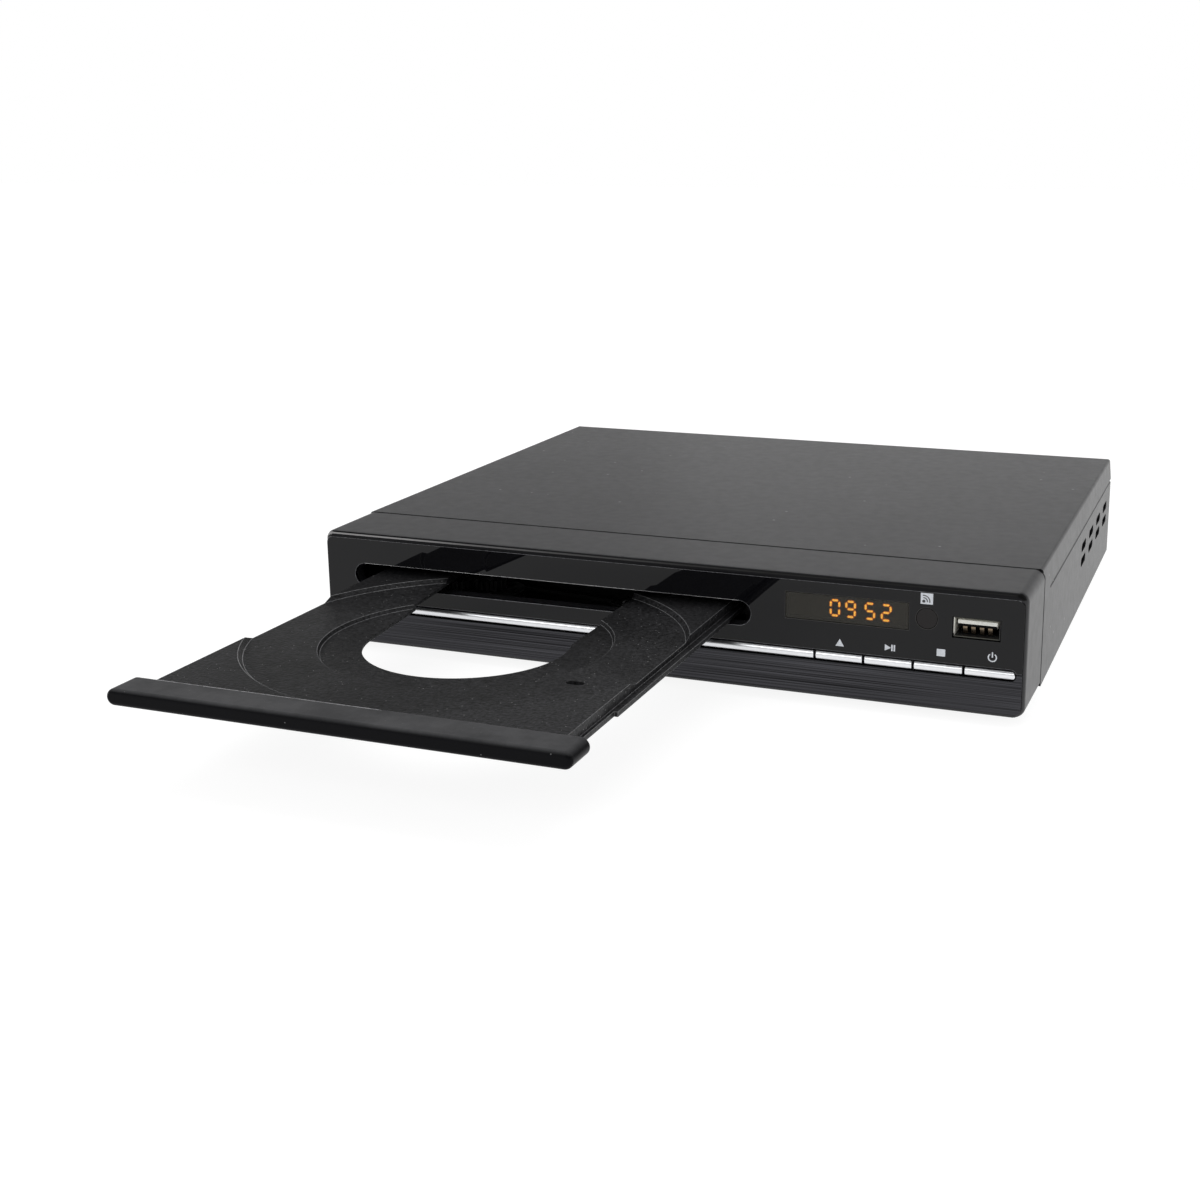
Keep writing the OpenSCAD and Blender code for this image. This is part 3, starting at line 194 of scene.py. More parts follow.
def make_floor():
    """A pale floor. Seen directly, it glows almost white and keeps the object's shadow."""
    reach, paint_tone, shadow_tone, glow_strength = 4.0, 0.8, 0.25, 0.89
    mesh = bpy.data.meshes.new("floor")
    corners = [(-reach, -reach, 0), (reach, -reach, 0), (reach, reach, 0), (-reach, reach, 0)]
    mesh.from_pydata(corners, [], [(0, 1, 2, 3)])
    mat = bpy.data.materials.new("floor_white")
    mat.use_nodes = True
    tree = mat.node_tree
    tree.nodes.clear()
    paint = add_node(tree, "BsdfDiffuse", Color=(paint_tone, paint_tone, paint_tone, 1))
    shadow = add_node(tree, "BsdfDiffuse", Color=(shadow_tone, shadow_tone, shadow_tone, 1))
    glow = add_node(tree, "Emission", Strength=glow_strength)
    shown = add_node(tree, "AddShader", shadow.outputs[0], glow.outputs[0])
    mix = add_node(tree, "MixShader", seen_directly(tree), paint.outputs[0], shown.outputs[0])
    add_node(tree, "OutputMaterial", Surface=mix.outputs[0])
    mesh.materials.append(mat)
    floor = add_object("floor", mesh)


def make_lamp(name, place, size, watts):
    """A rectangular lamp that faces the frame's origin. Its place and size are in metres."""
    data = bpy.data.lights.new(name, "AREA")
    data.shape = "RECTANGLE"
    data.size, data.size_y = size
    data.energy = watts
    lamp = add_object(name, data)
    turn = (Vector((0, 0, 0)) - Vector(place)).to_track_quat("-Z", "Y")
    lamp.matrix_world = Matrix.Translation(Vector(place)) @ turn.to_matrix().to_4x4()


# ---- finishes ----

def finish(name, colour, rough, metal=0.0, vary=0.08, rough_vary=0.02, grain=1500, bump=0.0,
           stretch=(1, 1, 1), specks=None, cells=False, cloud=0.0, dust=None, **fixed):
    """A principled material whose colour, roughness and relief come from noise in the object's own space.

    vary and rough_vary say how far colour and roughness change, grain how fine the noise is, bump how high
    its relief is in millimetres. cells draws zinc crystals, cloud soft patches, dust a lighter
    layer on faces that look up, which is dust and partly a painted sheen, and specks single grains. fixed
    holds plain values for other inputs of the shader, by name.
    """
    mat = bpy.data.materials.new(name)
    mat.use_nodes = True
    tree = mat.node_tree
    place = add_node(tree, "TexCoord").outputs["Object"]
    stretched = add_node(tree, "Mapping", Vector=place, Scale=stretch).outputs[0]
    level = crystals(tree, stretched, grain) if cells else noise(tree, stretched, grain, detail=3)
    tone = two_tones(tree, level, colour, vary)
    if cloud:
        tone = clouded(tree, place, tone, cloud)
    if dust:
        tone = dust_and_sheen_on_top(tree, place, tone, dust)
    if specks:
        tone = specked(tree, place, tone, *specks)
    patches = noise(tree, stretched, scale=300, detail=4)
    roughness = spread(tree, patches, 0.3, 0.7, max(0.01, rough - rough_vary), rough + rough_vary)
    fed = {"Metallic": metal, "Base Color": tone, "Roughness": roughness}
    if bump:
        fed["Normal"] = add_node(tree, "Bump", Strength=1.0, Distance=bump * MM, Height=level).outputs[0]
    fed.update({key.replace("_", " "): value for key, value in fixed.items()})
    for key, value in fed.items():
        feed(tree, value, tree.nodes["Principled BSDF"].inputs[key])
    return mat


def crystals(tree, place, grain):
    """One random level for each crystal of a zinc coat."""
    cell = add_node(tree, "TexVoronoi", Vector=place, Scale=grain)
    return add_node(tree, "SeparateColor", cell.outputs["Color"]).outputs[0]


def two_tones(tree, level, colour, vary):
    """The colour, darker by a share where the level is low and lighter where it is high."""
    ramp = add_node(tree, "ValToRGB", level)
    for element, position, share in zip(ramp.color_ramp.elements, (0.3, 0.7), (1 - vary, 1 + vary)):
        element.position = position
        element.color = [min(1, c * share) for c in colour] + [1]
    return ramp.outputs[0]


def clouded(tree, place, tone, share):
    """The tone made darker and lighter in soft patches a few centimetres wide."""
    level = spread(tree, noise(tree, place, scale=22, detail=2), 0.35, 0.65, 1 - share, 1 + share)
    return add_node(tree, "VectorMath", tone, operation="SCALE", Scale=level).outputs[0]


def dust_and_sheen_on_top(tree, place, tone, dust):
    """The tone on upright faces, and patches of a lighter tone on the faces that look up: dust, and partly a
    painted sheen.
    """
    normal = add_node(tree, "NewGeometry").outputs["Normal"]
    up = spread(tree, add_node(tree, "SeparateXYZ", normal).outputs["Z"], 0.5, 1.0)
    patches = spread(tree, noise(tree, place, scale=60, detail=8, roughness=0.75), 0.38, 0.62, to_low=0.6)
    return mix_colours(tree, calculate(tree, "MULTIPLY", up, patches), tone, (*dust, 1))


def specked(tree, place, tone, size, fineness, rareness, speck):
    """The tone with one small speck in some of the cells that the space is divided into."""
    cell = add_node(tree, "TexVoronoi", Vector=place, Scale=fineness)
    near = calculate(tree, "LESS_THAN", cell.outputs["Distance"], size)
    chance = add_node(tree, "SeparateColor", cell.outputs["Color"]).outputs[0]
    chosen = calculate(tree, "GREATER_THAN", chance, rareness)
    return mix_colours(tree, calculate(tree, "MULTIPLY", near, chosen), tone, (*speck, 1))


def add_smoke(mat, colour, share):
    """Mixes a dull tone into a clear material, as in smoke-tinted plastic."""
    tree = mat.node_tree
    clear, out = tree.nodes["Principled BSDF"], tree.nodes["Material Output"]
    dull = add_node(tree, "BsdfPrincipled", Base_Color=(*colour, 1), Roughness=0.05, Specular_IOR_Level=0.25)
    mix = add_node(tree, "MixShader", share, clear.outputs[0], dull.outputs[0])
    tree.links.new(mix.outputs[0], out.inputs["Surface"])


def fade_along_x(mat, stops):
    """Scales a finish's colour by a share that changes along x, given as pairs of mm and share."""
    tree = mat.node_tree
    socket = tree.nodes["Principled BSDF"].inputs["Base Color"]
    tone = socket.links[0].from_socket
    first, last = stops[0][0], stops[-1][0]
    place = add_node(tree, "TexCoord").outputs["Object"]
    x = add_node(tree, "SeparateXYZ", place).outputs["X"]
    ramp = add_node(tree, "ValToRGB", spread(tree, x, first * MM, last * MM))
    while len(ramp.color_ramp.elements) < len(stops):
        ramp.color_ramp.elements.new(0.5)
    for element, (stop, share) in zip(ramp.color_ramp.elements, stops):
        element.position = (stop - first) / (last - first)
        element.color = (share, share, share, 1)
    tree.links.new(mix_colours(tree, 1.0, tone, ramp.outputs[0], "MULTIPLY"), socket)


ALONG_X, ALONG_Z = (0.012, 1, 1), (1, 1, 0.03)  # stretches of the noise, for drawn and brushed metal
BLACK = (0.018, 0.018, 0.02)
ZINC = (0.5, 0.51, 0.52)
STEEL = (0.56, 0.57, 0.58)
SILVER = (0.78, 0.79, 0.8)
NATURAL = (0.74, 0.72, 0.66)
ZINC_SHEET = dict(colour=ZINC, rough=0.36, metal=1.0, vary=0.06, grain=330, cells=True)
SILVER_TRIM = dict(colour=(0.76, 0.77, 0.79), rough=0.3, metal=1.0, vary=0.03, rough_vary=0.005)
GEAR = dict(colour=(0.02, 0.02, 0.021), rough=0.34, bump=0.004)
GREEN_BOARD = dict(colour=(0.018, 0.1, 0.04), rough=0.3, vary=0.3, grain=260, bump=0.012)
MOTOR_CAN = dict(colour=STEEL, rough=0.26, metal=1.0, bump=0.003)
CUT_EDGE = dict(rough=0.3, vary=0.5, grain=900, bump=0.01)
RIM = dict(rough=0.36, grain=2400, bump=0.01, Specular_IOR_Level=0.12)
FINISHES = {
    # the record's material slots
    "chassis_steel": ZINC_SHEET,
    "cover_paint": dict(colour=(0.015, 0.015, 0.017), rough=0.34, grain=2600, bump=0.02,
                        Specular_IOR_Level=0.25, cloud=0.1, specks=(0.06, 140, 0.6, (0.2, 0.2, 0.2))),
    "black_screw": dict(colour=BLACK, rough=0.35, metal=0.6, grain=900, bump=0.005),
    "foot_rubber": dict(colour=(0.02, 0.02, 0.02), rough=0.75, grain=1200, bump=0.02),
    "bezel_plastic": dict(colour=(0.014, 0.014, 0.016), rough=0.36, grain=2400, bump=0.01,
                          Specular_IOR_Level=0.35),
    "panel_gloss": dict(colour=(0.003, 0.003, 0.004), rough=0.02, rough_vary=0.01, grain=220, bump=0.0006,
                        Specular_IOR_Level=0.25),
    "band_brushed": dict(colour=(0.036, 0.036, 0.04), rough=0.24, metal=0.85, vary=0.9, rough_vary=0.004,
                         grain=3600, bump=0.03, stretch=(0.003, 1, 1), Specular_IOR_Level=0.3),
    "silver": SILVER_TRIM,
    "key_eject": SILVER_TRIM,
    "key_play": SILVER_TRIM,
    "key_stop": SILVER_TRIM,
    "key_power": SILVER_TRIM,
    "display_glass": dict(colour=(0.12, 0.11, 0.09), rough=0.03, rough_vary=0.01, Transmission_Weight=1.0,
                          IOR=1.3),
    "module_black": dict(colour=(0.06, 0.055, 0.045), rough=0.8, bump=0.01),
    "ir_glass": dict(colour=(0.007, 0.005, 0.005), rough=0.05, rough_vary=0.01, grain=400, bump=0.0005,
                     Specular_IOR_Level=0.25),
    "ir_black": dict(colour=(0.02, 0.018, 0.02), rough=0.3, bump=0.004),
    "usb_steel": dict(colour=(0.78, 0.76, 0.7), rough=0.35, metal=0.7, vary=0.04, grain=1200, bump=0.002),
    "usb_plastic": dict(colour=(0.9, 0.9, 0.85), rough=0.45, bump=0.006),
    "front_pcb": dict(colour=(0.02, 0.11, 0.045), rough=0.32, vary=0.25, grain=300, bump=0.01),
    "switch_black": dict(colour=BLACK, rough=0.5, bump=0.01),
    "loader_plastic": dict(colour=(0.012, 0.012, 0.013), rough=0.5, grain=1400, bump=0.02),
    "tray_plastic": dict(colour=(0.0135, 0.0135, 0.0145), rough=0.48, vary=0.9, grain=1050, bump=0.15,
                         cloud=0.5, Specular_IOR_Level=0.2, specks=(0.12, 760, 0.8, (0.26, 0.26, 0.26))),
    # the lid's lighter top is dust and partly a painted sheen
    "lid_plastic": dict(colour=(0.005, 0.005, 0.006), rough=0.32, grain=2200, bump=0.012,
                        Specular_IOR_Level=0.05, dust=(0.075, 0.075, 0.078),
                        specks=(0.07, 400, 0.7, (0.12, 0.12, 0.12))),
    "bridge_steel": ZINC_SHEET,
    "puck_plastic": dict(colour=NATURAL, rough=0.4, bump=0.006),
    "clamp_steel": dict(colour=STEEL, rough=0.3, metal=1.0, stretch=ALONG_X, bump=0.004),
    "motor_can": MOTOR_CAN,
    "pulley_plastic": GEAR,
    "belt_rubber": dict(colour=(0.018, 0.018, 0.018), rough=0.7, bump=0.015),
    "gear_plastic": GEAR,
    "gear_plastic_b": GEAR,
    "cam_plastic": GEAR,
    "lift_plastic": dict(colour=(0.028, 0.028, 0.03), rough=0.48, bump=0.015),
    "damper_rubber": dict(colour=(0.03, 0.045, 0.09), rough=0.65, bump=0.01),
    "traverse_steel": dict(colour=STEEL, rough=0.34, metal=1.0, vary=0.06, grain=330, cells=True),
    "spindle_can": dict(colour=STEEL, rough=0.24, metal=1.0, bump=0.003),
    "turntable_plastic": dict(colour=(0.025, 0.025, 0.027), rough=0.38, bump=0.006),
    "pad_rubber": dict(colour=(0.02, 0.02, 0.02), rough=0.72, bump=0.015),
    "pickup_metal": dict(colour=(0.3, 0.31, 0.33), rough=0.46, metal=0.9, grain=900, bump=0.02),
    "lens_glass": dict(colour=(0.7, 0.8, 1.0), rough=0.02, rough_vary=0.005, Transmission_Weight=0.9,
                       IOR=1.52),
    "rod_steel": dict(colour=SILVER, rough=0.1, metal=1.0, bump=0.001),
    "screw_steel": dict(colour=SILVER, rough=0.18, metal=1.0, bump=0.002),
    "sled_can": MOTOR_CAN,
    "main_pcb": GREEN_BOARD,
    "chip_epoxy": dict(colour=(0.02, 0.02, 0.02), rough=0.5, grain=1800, bump=0.01),
    "power_pcb": dict(colour=(0.26, 0.16, 0.06), rough=0.5, vary=0.2, grain=400, bump=0.01),
    "ferrite": dict(colour=(0.05, 0.045, 0.04), rough=0.55, grain=800, bump=0.02),
    "capacitor_sleeve": dict(colour=(0.02, 0.025, 0.1), rough=0.2, bump=0.004),
    "heat_sink_metal": dict(colour=(0.66, 0.67, 0.68), rough=0.34, metal=1.0, stretch=ALONG_Z, bump=0.006),
    "av_pcb": GREEN_BOARD,
    "jack_plastic": dict(colour=BLACK, rough=0.45, bump=0.01),
    "jack_metal": dict(colour=(0.72, 0.72, 0.72), rough=0.18, metal=1.0, bump=0.002),
    "hdmi_steel": dict(colour=(0.66, 0.66, 0.67), rough=0.22, metal=1.0, bump=0.002),
    "hdmi_plastic": dict(colour=BLACK, rough=0.4, bump=0.006),
    "inlet_plastic": dict(colour=(0.02, 0.02, 0.021), rough=0.42, bump=0.012),
    "inlet_brass": dict(colour=(0.66, 0.5, 0.22), rough=0.25, metal=1.0, bump=0.002),
    "standoff_steel": dict(colour=STEEL, rough=0.3, metal=1.0, bump=0.003),
    "screw_zinc": dict(colour=(0.6, 0.6, 0.62), rough=0.3, metal=1.0, bump=0.004),
    # prints, figures and contacts
    "white_print": dict(colour=(0.74, 0.77, 0.82), rough=0.4, bump=0.003),
    "dark_print": dict(colour=(0.03, 0.03, 0.035), rough=0.4, bump=0.003),
    "contact_gold": dict(colour=(0.2, 0.155, 0.11), rough=0.35, metal=1.0, bump=0.002),
    "figure_lit": dict(colour=(0.9, 0.4, 0.05), rough=0.3, Emission_Strength=14.0,
                       Emission_Color=(1.0, 0.3, 0.02, 1)),
    "figure_core": dict(colour=(0.9, 0.6, 0.1), rough=0.3, Emission_Strength=18.0,
                        Emission_Color=(1.0, 0.62, 0.1, 1)),
    "figure_dark": dict(colour=(0.05, 0.045, 0.04), rough=0.4, bump=0.003),
    # single faces of a piece: sockets' collars, cut edges, and painted highlights and painted shade on
    # edges, rims and the seam
    "collar_red": dict(colour=(0.5, 0.02, 0.02), rough=0.35, bump=0.004),
    "collar_white": dict(colour=(0.72, 0.72, 0.7), rough=0.35, bump=0.004),
    "collar_yellow": dict(colour=(0.7, 0.5, 0.02), rough=0.35, bump=0.004),
    "collar_orange": dict(colour=(0.62, 0.2, 0.02), rough=0.35, bump=0.004),
    # painted highlight on the panel's slot edge; a cut-edge tone that is partly a painted highlight; painted
    # shade in the window gaps
    "slot_edge_highlight": dict(colour=(0.8, 0.8, 0.82), **CUT_EDGE),
    "cut_edge_and_highlight": dict(colour=(0.12, 0.12, 0.13), **CUT_EDGE),
    "gap_shade": dict(colour=(0.03, 0.028, 0.026), rough=0.5, bump=0.004),
    # painted highlight on the tray's rounded edges
    "tray_edge_highlight": dict(colour=(0.14, 0.14, 0.145), rough=0.25, vary=0.5, grain=900, bump=0.008),
    # painted highlight on the back edge of the lid's top
    "lid_edge_highlight": dict(colour=(0.3, 0.3, 0.31), rough=0.3, vary=0.9, grain=1300, bump=0.01),
    # painted shade in the USB mouth and under the tray's small slot
    "painted_shade_black": dict(colour=(0.012, 0.012, 0.012), rough=0.5, bump=0.004),
    "rim_soft": dict(colour=(0.03, 0.028, 0.024), rough=0.5, bump=0.004),
    # painted dim shade and a painted highlight in the USB mouth
    "painted_shade_dim": dict(colour=(0.07, 0.07, 0.055), rough=0.4, bump=0.002),
    "painted_highlight_white": dict(colour=(0.9, 0.89, 0.82), rough=0.4, bump=0.002),
    # painted shade on the bezel's rim over the panel, and a painted highlight line on its round
    "front_rim_shade": dict(colour=(0.004, 0.004, 0.005), **RIM),
    "front_highlight_line": dict(colour=(1.0, 0.97, 0.98), **RIM),
    # painted shadow along the seam between bezel and cover, and painted shade under the USB tongue
    "painted_shadow": dict(colour=(0.003, 0.003, 0.003), rough=0.6, bump=0.004, Specular_IOR_Level=0.05),
}
materials = {name: finish(name, **facts) for name, facts in FINISHES.items()}
add_smoke(materials["display_glass"], (0.06, 0.055, 0.042), 0.4)
# the painted highlight on the bezel's rim fades out to the right
fade_along_x(materials["front_highlight_line"],
             [(-108, 0.32), (-82, 0.3), (-60, 0.14), (-30, 0.07), (10, 0.02), (40, 0.004)])


# ---- pieces ----

SMOOTH_UNDER = math.radians(32)
BEVEL_OVER = math.radians(35)
FLAT_WITHIN = math.radians(0.5)
WELD = 1e-6


def add_piece(name, bm, body, slot, finishes, *stands_for):
    """The mesh as a piece that rides on a body, with its finishes in the order of its faces' numbers."""
    mesh = bpy.data.meshes.new(name)
    bm.to_mesh(mesh)
    bm.free()
    for entry in finishes:
        mesh.materials.append(materials[entry])
    for face in mesh.polygons:
        face.use_smooth = True
    mesh.set_sharp_from_angle(angle=SMOOTH_UNDER)
    obj = add_object(name, mesh)
    flat = obj.modifiers.new("flat_faces", "WEIGHTED_NORMAL")
    flat.keep_sharp = True
    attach(obj, body)
    if stands_for:
        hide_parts(*stands_for)


X, Y, Z = range(3)


def cut(bm, axis, place):
    """An edge loop all round where the plane across an axis meets the mesh."""
    point, normal = [0, 0, 0], [0, 0, 0]
    point[axis], normal[axis] = place, 1
    everything = bm.verts[:] + bm.edges[:] + bm.faces[:]
    bmesh.ops.bisect_plane(bm, geom=everything, plane_co=at(*point), plane_no=normal)


def paint(faces, choose):
    """Gives each face the finish whose number choose says for its middle, in millimetres, and its normal."""
    for face in faces:
        face.material_index = int(choose(*in_mm(face.calc_center_median()), face.normal))


def front_and_back(bm):
    """How far back a mesh starts and ends, in millimetres from the front face."""
    depths = [vert.co.y / MM + FRONT_Y for vert in bm.verts]
    return min(depths), max(depths)


TRAY_X, DISC_Y = -34.5, -50         # the middle of the tray's recess
CUT_REACH = 39.5                    # the cut-out's front round lies within this radius
CUT_LEFT_START = (-28.46, -6.05)    # where the cut-out's left wall starts, from that middle
CUT_LEFT_LEAN = 0.098               # how far that wall runs to the left for each millimetre back
CUT_RIGHT = 27.5                    # where its right wall lies, from that middle
SMALL_SLOT = (8.6, -72.7)           # the middle of the tray's small slot
MOSTLY, PARTLY = 0.5, 0.3           # shares of a normal that tell which way a face looks


# Each dress function paints the faces of one node, from its mesh and its newly rounded faces, and returns
# the names of its finishes in the order of the faces' numbers.


def dress_tray(bm, rounded):
    """Painted highlight: the rounded edges are painted light, apart from those of the cut-out and the small
    slot.
    """
    near_wall, near_slot = 0.8, 5

    def choose(x, y, z, normal):
        across, along = x - TRAY_X, y - DISC_Y
        start_x, start_y = CUT_LEFT_START
        at_left = abs(across - start_x + CUT_LEFT_LEAN * (along - start_y)) < near_wall
        at_right = abs(across - CUT_RIGHT) < near_wall
        at_cutout = math.hypot(across, along) < CUT_REACH or along > 0 and (at_left or at_right)
        return not at_cutout and math.hypot(x - SMALL_SLOT[0], y - SMALL_SLOT[1]) > near_slot

    paint(rounded, choose)
    return "tray_plastic", "tray_edge_highlight"


def dress_lid(bm, rounded):
    """Painted highlight: the back edge of the lid's top is painted light left of one place."""
    highlight_x, highlight_depth = -25, 0.55
    highlight_y = front_and_back(bm)[1] - highlight_depth
    cut(bm, Y, highlight_y)
    cut(bm, X, highlight_x)
    paint(bm.faces, lambda x, y, z, normal: x < highlight_x and y > highlight_y and normal.z > MOSTLY)
    return "lid_plastic", "lid_edge_highlight"


def dress_cover(bm, rounded):
    """Painted shadow: the cover's front edge is painted dark along the seam."""
    seam_depth = 0.5
    seam_y = front_and_back(bm)[0] + seam_depth
    paint(rounded, lambda x, y, z, normal: y < seam_y)
    return "cover_paint", "painted_shadow"


def dress_panel(bm, rounded):
    """The panel's cut edges: a bright painted highlight under the tray's slot; round the outside, at the
    left end and along the long edges, a dim tone that is cut acrylic's own and partly a painted highlight,
    with the right end left dark; painted shade in the gaps at the windows.
    """
    left_end, low_edge, high_edge = -110, 20, 34
    slot_left, slot_right, slot_middle_z = -102, 33, 27.2
    bright_left, bright_right = -97.5, 28.5
    windows_left, windows_right = 36, 89

    def choose(x, y, z, normal):
        if x < left_end or not low_edge < z < high_edge:
            return 2
        if slot_left < x < slot_right and z < slot_middle_z:
            return 1 if bright_left < x < bright_right else 2
        return 3 if windows_left < x < windows_right else 0

    paint(rounded, choose)
    return "panel_gloss", "slot_edge_highlight", "cut_edge_and_highlight", "gap_shade"


def dress_bezel(bm, rounded):
    """Painted shadow along the seam to the cover, painted shade on the rim over the panel, and a thin
    painted highlight line on the rim's round.
    """
    seam_y, side_seam_y = 27.2, 27.0
    cut(bm, Y, seam_y)
    cut(bm, Y, side_seam_y)
    round_corners(bm)
    bm.normal_update()
    _, (half, _, height) = box_mm("front_bezel")
    top_z, side_x, corner_x, corner_z = height - 0.1, half - 0.3, half - 2.5, height - 2.2
    rim_z, rim_depth, rim_tilt = box_mm("gloss_panel")[1][2], 1.2, 0.2
    # line_low and line_high bound the faces that carry the painted highlight line
    line_low, line_high = 0.25, 0.64  # how far up the faces look that make the line

    def choose(x, y, z, normal):
        on_side = abs(x) > side_x or abs(x) > corner_x and z > corner_z
        # painted shadow along the seam to the cover
        if y > seam_y and z > top_z or y > side_seam_y and on_side:
            return 1
        # painted shade on the rim over the panel, with a painted highlight line on its round
        if y < rim_depth and z > rim_z and normal.y < -rim_tilt:
            return 3 if line_low < normal.z < line_high else 2
        return 0

    paint(bm.faces, choose)
    return "bezel_plastic", "painted_shadow", "front_rim_shade", "front_highlight_line"


def round_corners(bm):
    """The bezel's four corners as one smooth round in all directions, as the mould leaves them."""
    _, (half, _, height) = box_mm("front_bezel")
    top_r, low_r = 3.0, 2.7         # the corners' rounds as seen from the front
    front_r, side_r = 2.5, 0.8      # the front's round as seen from above, and as seen from the side
    taper, depth = 0.4, 28.2        # each side leans in by the taper from this depth to the front
    steps, wide_step, top_step, low_step, slack = 7, 0.5, 0.45, 0.5, 0.01
    for y in (0.3, 0.8, 1.3, 1.9, 2.5):
        cut(bm, Y, y)
    for step in range(1, steps + 1):
        cut(bm, X, -(half - wide_step * step))
        cut(bm, X, half - wide_step * step)
        cut(bm, Z, height - top_step * step)
        cut(bm, Z, low_step * step)
    for vert in bm.verts:
        x, y, z = in_mm(vert.co)
        if y > depth + slack:
            continue
        inward = math.sqrt(max(0, front_r ** 2 - max(0, front_r - y) ** 2)) - front_r
        wide = half - taper * (1 - max(0, y - front_r) / (depth - front_r)) + inward
        drop = side_r - math.sqrt(max(0, side_r ** 2 - max(0, side_r - y) ** 2))
        for radius, middle_z, up in ((top_r, height - drop - top_r, 1), (low_r, drop + low_r, -1)):
            dx, dz = abs(x) - (wide - radius), up * (z - middle_z)
            far = math.hypot(dx, dz)
            if dx > 0 and dz > 0 and far > radius:
                share = radius / far
                vert.co.x = math.copysign(wide - radius + dx * share, x) * MM
                vert.co.z = (middle_z + up * dz * share + FOOT_H) * MM


def dress_window(bm, rounded):
    """The display window's edges are darker than its face."""
    paint(bm.faces, lambda x, y, z, normal: abs(normal.y) < MOSTLY)
    return "display_glass", "rim_soft"


def dress_usb_shell(bm, rounded):
    """Painted light and shade on the mouth: its left side has a painted highlight, its right side and its
    floor painted shade, and the rest of its front a dim painted shade.
    """
    wall, bright_h = 0.32, 1.05
    low, high = box_mm("usb_shell")
    left_x, right_x, bright_z = low[0] + wall, high[0] - wall, low[2] + bright_h
    middle_z, inside_left = 25, 95
    for x in (left_x, right_x):
        cut(bm, X, x)
    for z in (low[2] + wall, high[2] - wall, bright_z):
        cut(bm, Z, z)

    def choose(x, y, z, normal):
        if normal.y < -PARTLY and x < left_x:
            return 2 if z > bright_z else 1
        if normal.y < -PARTLY:
            return 1 if x > right_x else 3
        if normal.z > MOSTLY and z < middle_z:
            return 1
        return 2 if normal.x > MOSTLY and x < inside_left else 0

    paint(bm.faces, choose)
    return "usb_steel", "painted_shade_black", "painted_highlight_white", "painted_shade_dim"


def dress_usb_insert(bm, rounded):
    """Painted shade: the mouth's front under its tongue is painted dark."""
    tongue_z = 25.75
    cut(bm, Z, tongue_z)
    paint(bm.faces, lambda x, y, z, normal: normal.y < -PARTLY and z < tongue_z)
    return "usb_plastic", "painted_shadow"


def dress_collars(bm, rounded):
    """One colour for each of the four phono sockets."""
    between = (-23, -9, 10)
    paint(bm.faces, lambda x, y, z, normal: sum(x > limit for limit in between))
    return "collar_red", "collar_white", "collar_yellow", "collar_orange"


DRESSED = {"tray": dress_tray, "tray_lid": dress_lid, "top_cover": dress_cover, "gloss_panel": dress_panel,
           "front_bezel": dress_bezel, "display_window": dress_window, "usb_shell": dress_usb_shell,
           "usb_insert": dress_usb_insert, "jack_collars": dress_collars}


def soften(node, width):
    """The node's own shape with its sharp edges rounded, as moulding, bending and tumbling leave them."""
    bm = bmesh.new()
    bm.from_mesh(nodes[node].data)
    bmesh.ops.remove_doubles(bm, verts=bm.verts, dist=WELD)
    bmesh.ops.dissolve_limit(bm, angle_limit=FLAT_WITHIN, verts=bm.verts, edges=bm.edges)
    sharp = [e for e in bm.edges if len(e.link_faces) == 2 and e.calc_face_angle(0) > BEVEL_OVER]
    rounded = bmesh.ops.bevel(bm, geom=sharp, offset=width * MM, offset_type="OFFSET", segments=3,
                              profile=0.5, affect="EDGES", clamp_overlap=True)["faces"]
    finishes = DRESSED[node](bm, rounded) if node in DRESSED else (slot_of[node],)
    add_piece(node + "_shown", bm, body_of[node], slot_of[node], finishes, node)


def extrude(bm, near, far):
    """Two outlines of points as the ends of one solid."""
    front = [bm.verts.new(point) for point in near]
    back = [bm.verts.new(point) for point in far]
    bm.faces.new(front)
    bm.faces.new(back[::-1])
    for i in range(len(front)):
        j = (i + 1) % len(front)
        bm.faces.new((front[i], back[i], back[j], front[j]))


def prism(bm, outline, y0, y1):
    """A flat outline in x and z, in millimetres, made solid from y0 to y1."""
    extrude(bm, [at(x, y0, z) for x, z in outline], [at(x, y1, z) for x, z in outline])


def prism_x(bm, outline, x0, x1):
    """A flat outline in y and z, in millimetres, made solid from x0 to x1."""
    extrude(bm, [at(x0, y, z) for y, z in outline], [at(x1, y, z) for y, z in outline])


def rect(x0, x1, z0, z1):
    """The corners of an upright rectangle."""
    return [(x0, z0), (x1, z0), (x1, z1), (x0, z1)]


def arc(x, z, radius, start, end, steps=24):
    """Points along a round from one angle to another, in degrees."""
    turns = [math.radians(start + (end - start) * i / steps) for i in range(steps + 1)]
    return [(x + radius * math.cos(turn), z + radius * math.sin(turn)) for turn in turns]


def ring_part(x, z, inner, outer, start, end):
    """The outline of a ring from one angle to another, in degrees."""
    return arc(x, z, outer, start, end) + arc(x, z, inner, start, end)[::-1]


def add_solid(name, bm, body, slot, finish_name, *stands_for):
    """A piece in one finish, with its faces turned outward."""
    bmesh.ops.recalc_face_normals(bm, faces=bm.faces)
    add_piece(name, bm, body, slot, (finish_name,), *stands_for)


BARS = {"0": "abcdef", "9": "abcdfg", "5": "acdfg", "2": "abdeg"}  # the lit bars of each figure
BAR_W, BAR_H = 2.5, 2.25            # from one upright bar to the next, and from one level bar to the next
BAR_T = 0.36                        # half a bar's thickness
BAR_PLACES = {                      # place from the figure's middle, and whether the bar lies level
    "a": (0, BAR_H, True), "g": (0, 0, True), "d": (0, -BAR_H, True),
    "f": (-BAR_W / 2, BAR_H / 2, False), "b": (BAR_W / 2, BAR_H / 2, False),
    "e": (-BAR_W / 2, -BAR_H / 2, False), "c": (BAR_W / 2, -BAR_H / 2, False),
}


